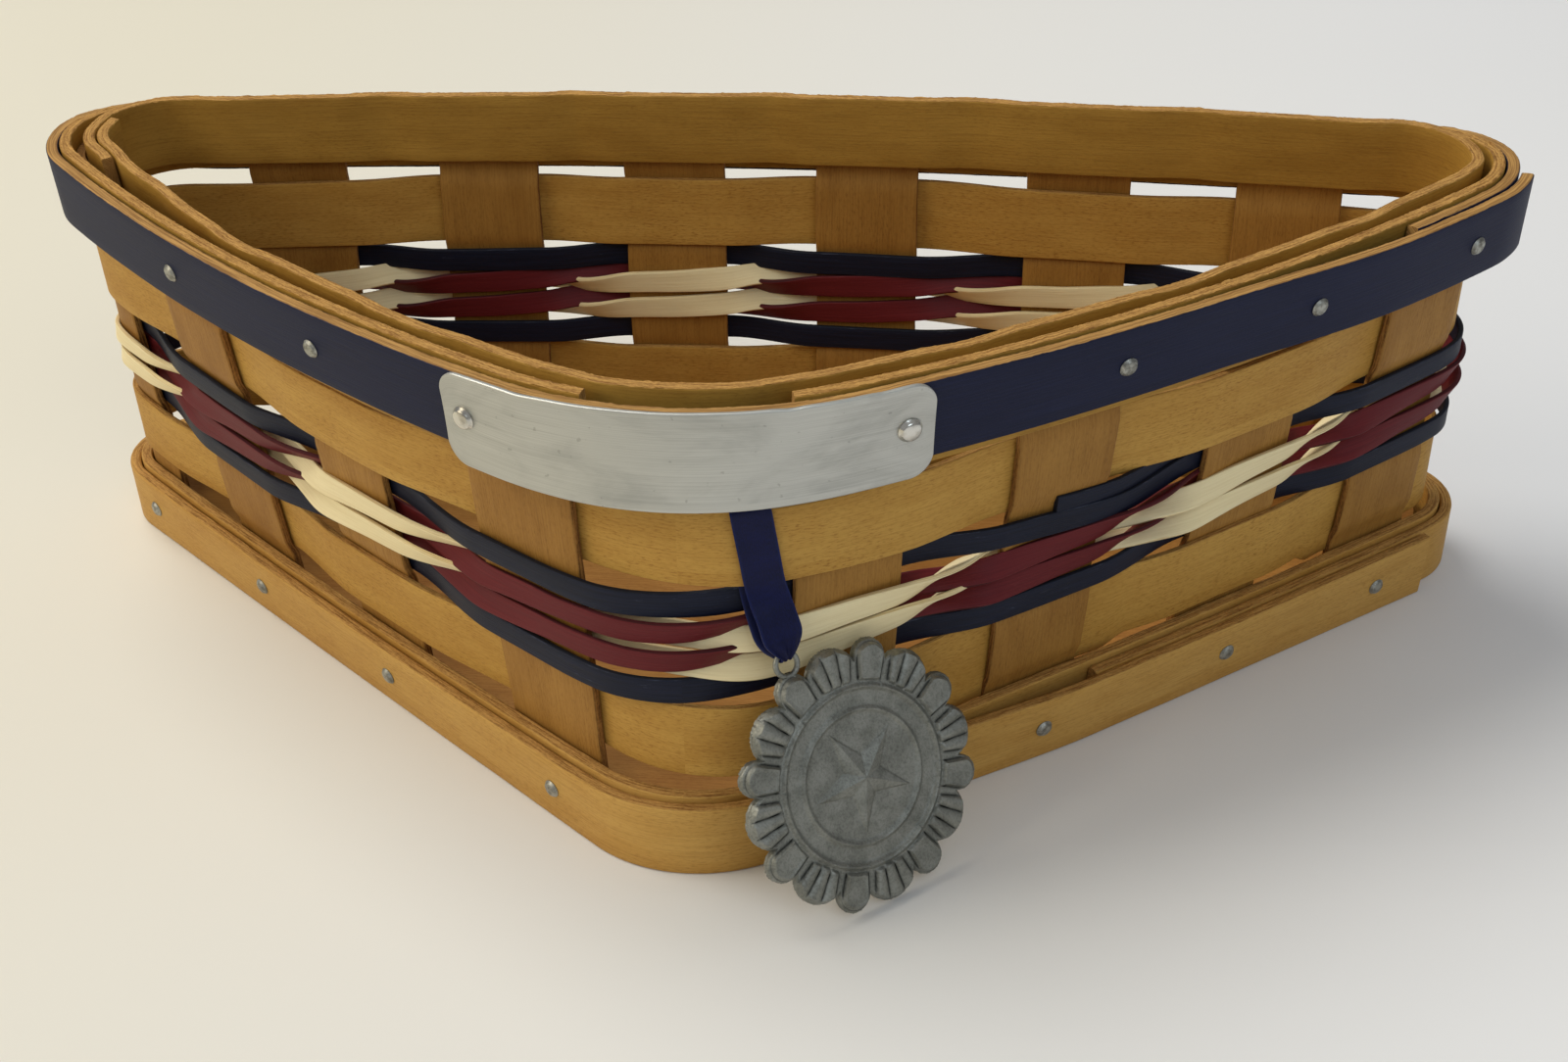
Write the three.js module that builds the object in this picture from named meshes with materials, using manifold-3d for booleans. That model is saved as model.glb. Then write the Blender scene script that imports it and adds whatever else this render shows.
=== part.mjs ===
// A three-sided woven splint basket: fourteen upright splints nailed between base and rim bands,
// eight weavers, a bent metal tag, and a cast medallion hanging on a ribbon.
// Millimetres, +Z up. The origin is on the underside of the base board, at the middle of its depth.
import * as THREE from 'three';
import { mergeVertices } from 'three/addons/utils/BufferGeometryUtils.js';
import Module from 'manifold-3d';

const wasm = await Module();
wasm.setup();

// Clearance kept between pieces that touch on the real basket
const SEAT = 0.3;

// Plan of the basket at the floor and at the rim, measured over the outermost band
const RIM_HEIGHT = 80;
const BASE_WIDTH = 246;
const BASE_OFF_CENTRE = -1.8;
const BASE_FRONT_Y = -56;
const BASE_CORNER_Y = 43.4;
const BASE_FRONT_RADIUS = 23.4;
const BASE_SIDE_RADIUS = 13;
const BASE_BOW_RADIUS = 10000;
const RIM_WIDTH = 245;
const RIM_FRONT_Y = -54.9;
const RIM_CORNER_Y = 34.4;
const RIM_FRONT_RADIUS = 55;
const RIM_SIDE_RADIUS = 19;
const RIM_SIDE_BOW_RADIUS = 357;
const RIM_BACK_BOW_RADIUS = 1250;

// Bands. The rim rises towards the back, and the tops of its three bands stand in steps.
const BAND_THICKNESS = 2;
const RIM_RISE = 1.8;
const NAVY_STRIP_WIDTH = 12.7;
const OUTER_RIM_WIDTH = 15.7;
const OUTER_RIM_TOP = 0.4;
const INNER_RIM_WIDTH = 12.7;
const INNER_RIM_TOP = 0.7;
const BASE_BAND_HEIGHT = 12.3;
const BASE_STRIP_HEIGHT = 13.2;
const BOARD_THICKNESS = 9.5;
const LAP_RAMP = 40;
const NAVY_LAP_END = 152;
const NAVY_LAP = 28;
const INNER_LAP_START = -164;
const INNER_LAP = 28;
const BASE_LAP_END = 146;
const BASE_LAP = 72;
const OUTER_RIM_GAP_LEFT = -13;
const OUTER_RIM_GAP_RIGHT = 18;

// Upright splints
const UPSPLINT_WIDTH = 16.8;
const WIDER_UPSPLINTS = { left_4: 20 };
const UPSPLINT_THICKNESS = 1.4;
const UPSPLINT_LOW = 0.8;
const UPSPLINT_TOP = 0.6;
const SIDE_UPSPLINTS = 4;
const BACK_UPSPLINTS = 6;
const FRONT_OFFSET = 26.6;
const RIGHT_CORNER_MARGIN = 27.3;
const LEFT_CORNER_MARGIN = 16;
const BACK_CORNER_MARGIN = 38.6;
const UPSPLINT_SHIFT = {
  right_1: 1.8, right_2: 0.7, right_3: 1.8,
  back_1: -1.7, back_2: -1.1, back_3: 0.7, back_5: -1.6, back_6: -1.7,
  left_1: -0.5, left_2: -2, left_3: -4.1, left_4: -2.1,
};

// Weavers. The gaps between rows, from the rim band down to the base strip, share out the room left.
const WIDE_WEAVER_WIDTH = 12.7;
const WIDE_WEAVER_THICKNESS = 1.2;
const THIN_WEAVER_WIDTH = 4.2;
const THIN_WEAVER_THICKNESS = 0.9;
const ROW_GAPS = [2.4, 1.6, 0.85, 0.85, 0.85, 0.6, 2.15];
const CROSSING_MARGIN = 0.6;
const PLAIN_STEPS = 3;
const TWIST_START = 0.06;
const TWIST_STEPS = 4;
const SQUEEZE_END = 0.25;

// Nails, rivets and tag
const NAIL_SHANK_RADIUS = 0.65;
const NAIL_HEAD_RADIUS = 1.5;
const NAIL_HEAD_HEIGHT = 0.8;
const RIVET_HEAD_RADIUS = 1.9;
const RIM_NAIL_DROP = 6.6;
const BASE_NAIL_Z = 6.4;
const RIM_NAIL_SHIFT = { right_2: 5.3, right_3: 1.8, left_1: -6.9, left_2: 6.9, left_3: 6.3 };
const BASE_NAIL_SHIFT = {
  right_2: -1.2, right_3: -1.8, right_4: -3, left_1: 5, left_2: 2.9, left_3: 2.9, left_4: 3.3,
};
const BOARD_BITE = 6;
const CLINCH = 0.7;
const NAIL_POINT = 1.4;
const NAIL_SIDES = 6;
const TAG_LENGTH = 73;
const TAG_CENTRE = 1.2;
const TAG_WIDTH = 15.4;
const TAG_TOP = 0.6;
const TAG_THICKNESS = 0.8;
const TAG_CORNER = 3.6;
const RIVET_INSET = 3.8;

// Ribbon and medallion
const RIBBON_PLACE = 11.6;
const RIBBON_WIDTH = 5.8;
const RIBBON_THICKNESS = 0.4;
const RIBBON_FOLD_WIDTH = 1.2;
const RIBBON_SLACK = 0.25;
const RIBBON_SPLIT_DROP = 1.1;
const EYE_CENTRE = new THREE.Vector3(13.2, -54.0, 38.05);
const EYE_RADIUS = 1.8;
const EYE_WIRE = 0.42;
const MEDAL_RADIUS = 20.4;
const MEDAL_NECK = 22.4;
const MEDAL_BACK = 1;
const MEDAL_FRONT = 0.8;
const MEDAL_FACING = 42.2;
const MEDAL_LEAN = 22.5;
const MEDAL_ROLL = 24.35;
const MEDAL_PETALS = 8;
const PETAL_RADIUS = 2.7;
const FAN_RADIUS = 4.4;
const FAN_REACH = 0.977;

const WOOD = { color: 0xb98a48, roughness: 0.6, metalness: 0 };
const UPRIGHT = { color: 0xa87638, roughness: 0.6, metalness: 0 };
const NAVY = { color: 0x232a42, roughness: 0.6, metalness: 0 };
const BLACK_NAVY = { color: 0x22252e, roughness: 0.55, metalness: 0 };
const RED = { color: 0x6e2730, roughness: 0.55, metalness: 0 };
const CREAM = { color: 0xe8d5a3, roughness: 0.6, metalness: 0 };
const STEEL = { color: 0x9b9a94, roughness: 0.35, metalness: 1 };
const TAG_METAL = { color: 0xc9c7bd, roughness: 0.35, metalness: 1 };
const PEWTER = { color: 0x85857f, roughness: 0.45, metalness: 1 };
const SATIN = { color: 0x14234f, roughness: 0.4, metalness: 0 };

const group = new THREE.Group();

function addPiece(parent, name, geometry, material) {
  const mesh = new THREE.Mesh(geometry, new THREE.MeshStandardMaterial(material));
  mesh.name = name;
  parent.add(mesh);
  return mesh;
}

function smooth(t) {
  const x = Math.min(1, Math.max(0, t));
  return x * x * (3 - 2 * x);
}

// Outline of one level: three corner circles joined by three bowed sides, each side a large arc
// that touches its two corner circles from inside. It starts at the middle of the front corner.
function planOutline({ width, centreX, frontY, cornerY, frontRadius, sideRadius, sideBow, backBow }) {
  const centres = [
    new THREE.Vector2(centreX, frontY + frontRadius),
    new THREE.Vector2(centreX + width / 2 - sideRadius, cornerY),
    new THREE.Vector2(centreX + sideRadius - width / 2, cornerY),
  ];
  const radii = [frontRadius, sideRadius, sideRadius];
  const bows = [sideBow, backBow, sideBow];
  const bowCentres = bows.map((bow, i) => {
    const j = (i + 1) % 3;
    const reach = centres[j].clone().sub(centres[i]);
    const length = reach.length();
    reach.divideScalar(length);
    const outward = new THREE.Vector2(reach.y, -reach.x);
    const first = bow - radii[i];
    const second = bow - radii[j];
    const along = (first ** 2 - second ** 2 + length ** 2) / (2 * length);
    const away = Math.sqrt(first ** 2 - along ** 2);
    return centres[i].clone().addScaledVector(reach, along).addScaledVector(outward, -away);
  });
  const arcs = [];
  for (let i = 0; i < 3; i++) {
    const before = bowCentres[(i + 2) % 3];
    const after = bowCentres[i];
    const next = centres[(i + 1) % 3];
    const enter = centres[i].clone().sub(before).angle();
    const leave = centres[i].clone().sub(after).angle();
    const end = next.clone().sub(after).angle();
    arcs.push({ centre: centres[i], radius: radii[i], start: enter, sweep: turnBetween(enter, leave) });
    arcs.push({ centre: after, radius: bows[i], start: leave, sweep: turnBetween(leave, end) });
  }
  const lengths = arcs.map((arc) => arc.radius * arc.sweep);
  const total = lengths.reduce((sum, length) => sum + length, 0);
  return { arcs, lengths, total, cornerMiddle: lengths[0] / 2 + lengths[1] + lengths[2] / 2 };
}

function turnBetween(from, to) {
  return (to - from + 2 * Math.PI) % (2 * Math.PI);
}

// Point and outward normal of an outline at a share of its length, counted from the front corner
function outlinePoint(outline, share) {
  const wrapped = share - Math.floor(share);
  let distance = (wrapped * outline.total + outline.lengths[0] / 2) % outline.total;
  let k = 0;
  while (distance > outline.lengths[k] && k < 5) {
    distance -= outline.lengths[k];
    k++;
  }
  const { centre, radius, start } = outline.arcs[k];
  const angle = start + distance / radius;
  const normal = new THREE.Vector2(Math.cos(angle), Math.sin(angle));
  return { point: centre.clone().addScaledVector(normal, radius), normal, angle };
}

const baseOutline = planOutline({
  width: BASE_WIDTH,
  centreX: BASE_OFF_CENTRE,
  frontY: BASE_FRONT_Y,
  cornerY: BASE_CORNER_Y,
  frontRadius: BASE_FRONT_RADIUS,
  sideRadius: BASE_SIDE_RADIUS,
  sideBow: BASE_BOW_RADIUS,
  backBow: BASE_BOW_RADIUS,
});
const rimOutline = planOutline({
  width: RIM_WIDTH,
  centreX: 0,
  frontY: RIM_FRONT_Y,
  cornerY: RIM_CORNER_Y,
  frontRadius: RIM_FRONT_RADIUS,
  sideRadius: RIM_SIDE_RADIUS,
  sideBow: RIM_SIDE_BOW_RADIUS,
  backBow: RIM_BACK_BOW_RADIUS,
});
const wallLength = (baseOutline.total + rimOutline.total) / 2;
const cornerPlace = (outline) => outline.cornerMiddle / outline.total;
const cornerShare = (cornerPlace(baseOutline) + cornerPlace(rimOutline)) / 2;
const share = (distance) => distance / wallLength;

// How far a share lies towards the back, from 0 at the front corner to 1 opposite it
const backness = (at) => Math.sin(Math.PI * at) ** 4;
const rimHeight = (at) => RIM_HEIGHT + RIM_RISE * backness(at);

// Stations where every sweep has a vertex, close together where the wall bends or twists
const STATION_TURN = THREE.MathUtils.degToRad(16);
const STATION_LENGTH = 50;
const STATION_TWIST = 0.8;
const FACET_BEND = 0.16;

// How far the wall's twist bends a facet between two shares, from floor to rim
function twistBetween(from, to) {
  const [base, rim] = [baseOutline, rimOutline].map((outline) => {
    return outlinePoint(outline, to).point.sub(outlinePoint(outline, from).point);
  });
  return Math.abs(base.cross(rim)) / base.length() / 4;
}

function wallStations() {
  const fine = 2000;
  const list = [0];
  for (let i = 1; i < fine; i++) {
    const here = i / fine;
    const last = list.at(-1);
    const turns = [baseOutline, rimOutline].map((outline) => {
      return turnBetween(outlinePoint(outline, last).angle, outlinePoint(outline, here).angle);
    });
    const far = (here - last) * wallLength > STATION_LENGTH;
    const turned = Math.max(...turns) > STATION_TURN;
    if (far || turned || twistBetween(last, here) > STATION_TWIST) list.push(here);
  }
  return list;
}
const stations = wallStations();
const levels = stations.map((at) => ({
  base: outlinePoint(baseOutline, at),
  rim: outlinePoint(rimOutline, at),
}));

function levelPoint({ base, rim }, z, inset) {
  const low = base.point.clone().addScaledVector(base.normal, -inset);
  const high = rim.point.clone().addScaledVector(rim.normal, -inset);
  const flat = low.lerp(high, z / RIM_HEIGHT);
  return new THREE.Vector3(flat.x, flat.y, z);
}

// A point of the wall: share of the way round, height, and depth in from the outermost face
function wallPoint(at, z, inset) {
  const { i, next, t } = stationSpan(at);
  return levelPoint(levels[i], z, inset).lerp(levelPoint(levels[next], z, inset), t);
}

function stationSpan(at) {
  const wrapped = at - Math.floor(at);
  let i = stations.length - 1;
  while (stations[i] > wrapped) i--;
  const next = (i + 1) % stations.length;
  const end = next === 0 ? 1 : stations[next];
  return { i, next, t: (wrapped - stations[i]) / (end - stations[i]) };
}

// Outward normal of the facet that a share lies on
function wallNormal(at, z) {
  const { i, next } = stationSpan(at);
  const chord = levelPoint(levels[next], z, 0).sub(levelPoint(levels[i], z, 0));
  const rise = wallPoint(at, z + 1, 0).sub(wallPoint(at, z, 0));
  return chord.cross(rise).normalize();
}

// Stations between two shares, with both ends and any extra shares
function stationsBetween(from, to, extra = []) {
  const nearest = share(0.3);
  const list = [from, to];
  for (const at of extra) {
    if (at > from && at < to) list.push(at);
  }
  for (let turn = Math.floor(from); turn <= Math.floor(to); turn++) {
    for (const at of stations) {
      const here = at + turn;
      const apart = list.every((other) => Math.abs(other - here) > nearest);
      if (apart && here > from && here < to) list.push(here);
    }
  }
  return list.sort((a, b) => a - b);
}

// Closed body swept through equal rings. A ring runs up its outer face and down its inner one,
// and both broad faces split along the same diagonal, so that neighbours keep their distance.
function ringSweep(rings, closed) {
  const size = rings[0].length;
  const spans = closed ? rings.length : rings.length - 1;
  const index = [];
  for (let i = 0; i < spans; i++) {
    const a = i * size;
    const b = ((i + 1) % rings.length) * size;
    for (let k = 0; k < size; k++) {
      const k2 = (k + 1) % size;
      if (k >= size / 2) index.push(a + k, b + k, a + k2, a + k2, b + k, b + k2);
      else index.push(a + k, b + k, b + k2, a + k, b + k2, a + k2);
    }
  }
  if (!closed) {
    const end = (rings.length - 1) * size;
    for (let k = 0; k < size / 2 - 1; k++) {
      const [k2, j, j2] = [k + 1, size - 1 - k, size - 2 - k];
      index.push(k, k2, j2, k, j2, j, end + k, end + j2, end + k2, end + k, end + j, end + j2);
    }
  }
  const geometry = new THREE.BufferGeometry();
  const positions = rings.flat().flatMap((p) => [p.x, p.y, p.z]);
  geometry.setAttribute('position', new THREE.Float32BufferAttribute(positions, 3));
  geometry.setIndex(index);
  return faceOutwards(geometry);
}

function faceOutwards(geometry) {
  const p = geometry.attributes.position;
  const index = geometry.index.array;
  const [a, b, c] = [new THREE.Vector3(), new THREE.Vector3(), new THREE.Vector3()];
  let volume = 0;
  for (let i = 0; i < index.length; i += 3) {
    a.fromBufferAttribute(p, index[i]);
    b.fromBufferAttribute(p, index[i + 1]);
    c.fromBufferAttribute(p, index[i + 2]);
    volume += a.dot(b.cross(c));
  }
  if (volume < 0) {
    for (let i = 0; i < index.length; i += 3) {
      [index[i + 1], index[i + 2]] = [index[i + 2], index[i + 1]];
    }
  }
  geometry.computeVertexNormals();
  return geometry;
}

// A flat strip standing in the wall, its outer face and edges given for each share. A tall strip
// has rows of facets where the wall twists.
function wallStrip({ from, to, low, high, inset, thickness, closed = false, extra = [] }) {
  const list = stationsBetween(from, to, extra);
  const twist = Math.max(...list.slice(1).map((at, i) => twistBetween(list[i], at)));
  if (closed) list.pop();
  const value = (size, at) => (typeof size === 'function' ? size(at) : size);
  const tall = value(high, from) - value(low, from);
  const rows = Math.max(1, Math.ceil((twist * tall) / RIM_HEIGHT / FACET_BEND));
  const rings = list.map((at) => {
    const outer = value(inset, at);
    const [bottom, top] = [value(low, at), value(high, at)];
    const heights = Array.from({ length: rows + 1 }, (_, i) => bottom + ((top - bottom) * i) / rows);
    const face = (depth) => heights.map((z) => wallPoint(at, z, depth));
    return [...face(outer), ...face(outer + thickness).reverse()];
  });
  return ringSweep(rings, closed);
}

// Solids and cuts
function toSolid(geometry) {
  const bare = geometry.clone();
  for (const name of Object.keys(bare.attributes)) {
    if (name !== 'position') bare.deleteAttribute(name);
  }
  const merged = mergeVertices(bare, 1e-5);
  return new wasm.Manifold(new wasm.Mesh({
    numProp: 3,
    vertProperties: new Float32Array(merged.attributes.position.array),
    triVerts: new Uint32Array(merged.index.array),
  }));
}

function toGeometry(solid) {
  const mesh = solid.getMesh();
  const geometry = new THREE.BufferGeometry();
  geometry.setAttribute('position', new THREE.BufferAttribute(new Float32Array(mesh.vertProperties), 3));
  geometry.setIndex(new THREE.BufferAttribute(new Uint32Array(mesh.triVerts), 1));
  geometry.computeVertexNormals();
  return geometry;
}

function drill(geometry, holes) {
  const drilled = holes.reduce((solid, hole) => solid.subtract(toSolid(hole)), toSolid(geometry));
  return toGeometry(drilled);
}

// Layers of the wall, from the outermost face inwards
const OUTER_INSET = 0;
const SECOND_INSET = BAND_THICKNESS + SEAT;
const UPSPLINT_INSET = SECOND_INSET + BAND_THICKNESS + SEAT;
const UPSPLINT_MIDDLE = UPSPLINT_INSET + UPSPLINT_THICKNESS / 2;
const INNER_INSET = UPSPLINT_INSET + UPSPLINT_THICKNESS + SEAT;
const LAYER = BAND_THICKNESS + SEAT;

// Half a splint's width as a share of the wall, whose own layer is shorter than the outside
const halfShare = (width) => width / 2 / (wallLength - 2 * Math.PI * UPSPLINT_MIDDLE);

// Places of the upright splints, going round from the front corner to the right
function upsplintPlaces() {
  const first = share(FRONT_OFFSET);
  const spread = (from, to, count) => {
    return Array.from({ length: count }, (_, i) => from + ((to - from) * i) / (count - 1));
  };
  const right = spread(first, cornerShare - share(RIGHT_CORNER_MARGIN), SIDE_UPSPLINTS);
  const backFirst = cornerShare + share(BACK_CORNER_MARGIN);
  const back = spread(backFirst, 1 - backFirst, BACK_UPSPLINTS);
  const left = spread(1 - cornerShare + share(LEFT_CORNER_MARGIN), 1 - first, SIDE_UPSPLINTS);
  const named = (side, places) => places.map((at, i) => ({ at, name: `${side}_${i + 1}` }));
  return [...named('right', right), ...named('back', back), ...named('left', left)].map(({ at, name }) => {
    const half = halfShare(WIDER_UPSPLINTS[name] ?? UPSPLINT_WIDTH);
    return { name, half, at: at + share(UPSPLINT_SHIFT[name] ?? 0) };
  });
}
const uprights = upsplintPlaces();

// Middle heights of the six rows at the front, from the upper wide weaver down. At the back the
// weave lies close under the rim band, so it rises more than the rim does.
function weaveRows() {
  const sum = (list) => list.reduce((total, size) => total + size, 0);
  const thin = THIN_WEAVER_WIDTH;
  const widths = [WIDE_WEAVER_WIDTH, thin, thin, thin, thin, WIDE_WEAVER_WIDTH];
  const top = RIM_HEIGHT + OUTER_RIM_TOP - OUTER_RIM_WIDTH;
  const unit = (top - BASE_STRIP_HEIGHT - sum(widths)) / sum(ROW_GAPS);
  const rows = widths.map((width, i) => {
    return top - sum(widths.slice(0, i)) - unit * sum(ROW_GAPS.slice(0, i + 1)) - width / 2;
  });
  return { rows, rise: RIM_RISE + unit * ROW_GAPS[0] - SEAT };
}
const { rows: rowHeights, rise: weaveRise } = weaveRows();
const ribbonSplit = rowHeights[0] - WIDE_WEAVER_WIDTH / 2 - RIBBON_SPLIT_DROP;

// The stretch of wall where strands cross between an upright and the next one
function gapAfter(i) {
  const last = i === uprights.length - 1;
  const [before, after] = [uprights[i], uprights[last ? 0 : i + 1]];
  const margin = share(CROSSING_MARGIN);
  return [before.at + before.half + margin, after.at + (last ? 1 : 0) - after.half - margin];
}

// Where a share lies in the weave: the upright passed last, and how far to the next one
function weavePlace(at) {
  const wrapped = at - Math.floor(at);
  const count = uprights.length;
  let i = count - 1;
  while (i >= 0 && uprights[i].at > wrapped) i--;
  const index = i < 0 ? count - 1 : i;
  const [from, to] = gapAfter(index);
  const u = ((i < 0 ? wrapped + 1 : wrapped) - from) / (to - from);
  return { index, u: Math.min(1, Math.max(0, u)) };
}

function crossingShares(fractions) {
  return uprights.flatMap((_, i) => {
    const [from, to] = gapAfter(i);
    return fractions.map((u) => {
      const place = from + u * (to - from);
      return place - Math.floor(place);
    });
  });
}

// Eased crossing from one side to the other, in straight steps
function crossing(u) {
  const step = Math.min(PLAIN_STEPS - 1, Math.floor(u * PLAIN_STEPS));
  const t = u * PLAIN_STEPS - step;
  return smooth(step / PLAIN_STEPS) * (1 - t) + smooth((step + 1) / PLAIN_STEPS) * t;
}

// Plain weave: outside every other upright and inside the ones between
function plainWeaver({ centre, width, thickness, outsideAtEven }) {
  const reach = UPSPLINT_THICKNESS / 2 + SEAT + thickness / 2;
  const fractions = Array.from({ length: PLAIN_STEPS + 1 }, (_, i) => i / PLAIN_STEPS);
  const middle = (at) => {
    const { index, u } = weavePlace(at);
    const side = (index % 2 === 0) === outsideAtEven ? 1 : -1;
    return UPSPLINT_MIDDLE - side * reach * (1 - 2 * crossing(u));
  };
  return {
    middle,
    geometry: wallStrip({
      from: 0,
      to: 1,
      low: (at) => centre + weaveRise * backness(at) - width / 2,
      high: (at) => centre + weaveRise * backness(at) + width / 2,
      inset: (at) => middle(at) - thickness / 2,
      thickness,
      closed: true,
      extra: crossingShares(fractions),
    }),
  };
}

// Twined pair: two strands lie face to face round the uprights, and between two uprights they
// close up and turn half round their common line, so that the outer one comes to the inside.
function twinedStrand({ centre, startsOutside }) {
  const apart = UPSPLINT_THICKNESS / 2 + SEAT + THIN_WEAVER_THICKNESS / 2;
  const together = (THIN_WEAVER_THICKNESS + SEAT) / 2;
  const side = startsOutside ? 1 : -1;
  const step = (1 - 2 * TWIST_START) / TWIST_STEPS;
  const extra = crossingShares(Array.from({ length: TWIST_STEPS + 1 }, (_, i) => TWIST_START + i * step));
  const list = stationsBetween(0, 1, extra);
  list.pop();
  const rings = list.map((at) => {
    const { index, u } = weavePlace(at);
    const v = Math.min(1, Math.max(0, (u - TWIST_START) / (1 - 2 * TWIST_START)));
    const angle = Math.PI * (index + (v + smooth(v)) / 2);
    const closing = smooth(Math.min(v, 1 - v) / SQUEEZE_END);
    const offset = side * (apart + (together - apart) * closing);
    const corner = (across, along) => {
      const depth = (offset + across) * Math.cos(angle) - along * Math.sin(angle);
      const height = (offset + across) * Math.sin(angle) + along * Math.cos(angle);
      return wallPoint(at, centre + weaveRise * backness(at) + height, UPSPLINT_MIDDLE - depth);
    };
    const t = THIN_WEAVER_THICKNESS / 2;
    const w = THIN_WEAVER_WIDTH / 2;
    return [corner(t, -w), corner(t, w), corner(-t, w), corner(-t, -w)];
  });
  return ringSweep(rings, true);
}

// Nails stand along the wall's normal, with a domed head seated on the outer face
function nailGeometry(length, headRadius) {
  const profile = [
    [0, -length],
    [NAIL_SHANK_RADIUS, -length + NAIL_POINT],
    [NAIL_SHANK_RADIUS, 0],
    [headRadius, 0],
    [headRadius * 0.8, NAIL_HEAD_HEIGHT * 0.7],
    [0, NAIL_HEAD_HEIGHT],
  ].map(([r, y]) => new THREE.Vector2(r, y));
  return new THREE.LatheGeometry(profile, NAIL_SIDES);
}

// Square to the facet through the middle of the uprights, with its start at the given depth
function alongWall(at, z, inset) {
  const normal = wallNormal(at, z);
  const turn = new THREE.Quaternion().setFromUnitVectors(new THREE.Vector3(0, 1, 0), normal);
  const start = wallPoint(at, z, UPSPLINT_MIDDLE).addScaledVector(normal, UPSPLINT_MIDDLE - inset);
  return new THREE.Matrix4().compose(start, turn, new THREE.Vector3(1, 1, 1));
}

function holeAt(at, z, depth) {
  const outside = 6;
  const radius = NAIL_SHANK_RADIUS + SEAT;
  const tool = new THREE.CylinderGeometry(radius, radius, depth + outside, NAIL_SIDES);
  tool.translate(0, (outside - depth) / 2, 0);
  return tool.applyMatrix4(alongWall(at, z, 0));
}

function ease(from, to, at) {
  return smooth((at - from) / (to - from));
}

// The outer end of a lapped strip rides one layer outside its own beginning
function lapInset(inset, at, lapEnd, lap) {
  const raised = ease(lapEnd - share(lap + LAP_RAMP), lapEnd - share(lap), at);
  return inset - raised * LAYER;
}

const navyEnd = 1 + share(NAVY_LAP_END);
const navyStart = navyEnd - 1 - share(NAVY_LAP);
const navyInset = (at) => lapInset(OUTER_INSET, at, navyEnd, NAVY_LAP);
const baseEnd = 1 + share(BASE_LAP_END);
const baseStart = baseEnd - 1 - share(BASE_LAP);
const baseInset = (at) => lapInset(OUTER_INSET, at, baseEnd, BASE_LAP);
const innerStart = share(INNER_LAP_START);
const innerEnd = innerStart + 1 + share(INNER_LAP);
const innerRamp = [innerStart + share(INNER_LAP), innerStart + share(INNER_LAP + LAP_RAMP)];
const innerInset = (at) => INNER_INSET + LAYER * (1 - ease(...innerRamp, at));

// Ends and middle of the ramp before a lap that ends at the given share
const rampBefore = (end, lap) => [LAP_RAMP, LAP_RAMP / 2, 0].map((left) => end - share(lap + left));

// Fasteners of the rim: a nail through each upright but the two that carry the tag's rivets
const tagPlaces = {
  right_1: share(TAG_CENTRE + TAG_LENGTH / 2 - RIVET_INSET),
  [`left_${SIDE_UPSPLINTS}`]: 1 + share(TAG_CENTRE - TAG_LENGTH / 2 + RIVET_INSET),
};
const rimPlace = ({ name, at }) => tagPlaces[name] ?? at + share(RIM_NAIL_SHIFT[name] ?? 0);
const rimFasteners = uprights.map((upright) => ({ name: upright.name, at: rimPlace(upright) }));
const rimNails = rimFasteners.filter(({ name }) => !(name in tagPlaces));
const tagRivets = rimFasteners.filter(({ name }) => name in tagPlaces);
const rimDepth = INNER_INSET + 2 * LAYER + CLINCH;
const nailHeight = (at) => rimHeight(at) - RIM_NAIL_DROP;
const rimHoles = rimFasteners.map(({ at }) => holeAt(at, nailHeight(at), rimDepth + 1));
const baseDepth = INNER_INSET + BOARD_BITE;
const basePlace = ({ name, at }) => at + share(BASE_NAIL_SHIFT[name] ?? 0);
const baseHoles = uprights.map((upright) => holeAt(basePlace(upright), BASE_NAIL_Z, baseDepth + SEAT));

// Outer face of the lapped strips over an upright
const nearEnd = (at, end) => (at + 1 < end ? at + 1 : at);
const navyFace = (at) => navyInset(nearEnd(at, navyEnd));
const baseFace = (at) => baseInset(nearEnd(at, baseEnd));

function buildUprights() {
  for (const upright of uprights) {
    const { at, half, name } = upright;
    const strip = wallStrip({
      from: at - half,
      to: at + half,
      low: UPSPLINT_LOW,
      high: (place) => rimHeight(place) + UPSPLINT_TOP,
      inset: UPSPLINT_INSET,
      thickness: UPSPLINT_THICKNESS,
    });
    const [rimAt, baseAt] = [rimPlace(upright), basePlace(upright)];
    const holes = [holeAt(rimAt, nailHeight(rimAt), rimDepth), holeAt(baseAt, BASE_NAIL_Z, baseDepth)];
    addPiece(group, `upsplint_${name}`, drill(strip, holes), UPRIGHT);
  }
}

function buildWeavers() {
  const [wideTop, navyTop, pairTop, pairBottom, navyBottom, wideBottom] = rowHeights;
  const wide = { width: WIDE_WEAVER_WIDTH, thickness: WIDE_WEAVER_THICKNESS, outsideAtEven: true };
  const thin = { width: THIN_WEAVER_WIDTH, thickness: THIN_WEAVER_THICKNESS, outsideAtEven: false };
  const upper = plainWeaver({ ...wide, centre: wideTop });
  addPiece(group, 'weaver_wide_upper', upper.geometry, WOOD);
  addPiece(group, 'weaver_wide_lower', plainWeaver({ ...wide, centre: wideBottom }).geometry, WOOD);
  addPiece(group, 'weaver_navy_upper', plainWeaver({ ...thin, centre: navyTop }).geometry, BLACK_NAVY);
  addPiece(group, 'weaver_navy_lower', plainWeaver({ ...thin, centre: navyBottom }).geometry, BLACK_NAVY);
  for (const [row, centre] of Object.entries({ upper: pairTop, lower: pairBottom })) {
    addPiece(group, `weaver_cream_${row}`, twinedStrand({ centre, startsOutside: true }), CREAM);
    addPiece(group, `weaver_red_${row}`, twinedStrand({ centre, startsOutside: false }), RED);
  }
  return { carrier: upper.middle, carrierCentre: wideTop };
}

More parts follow.
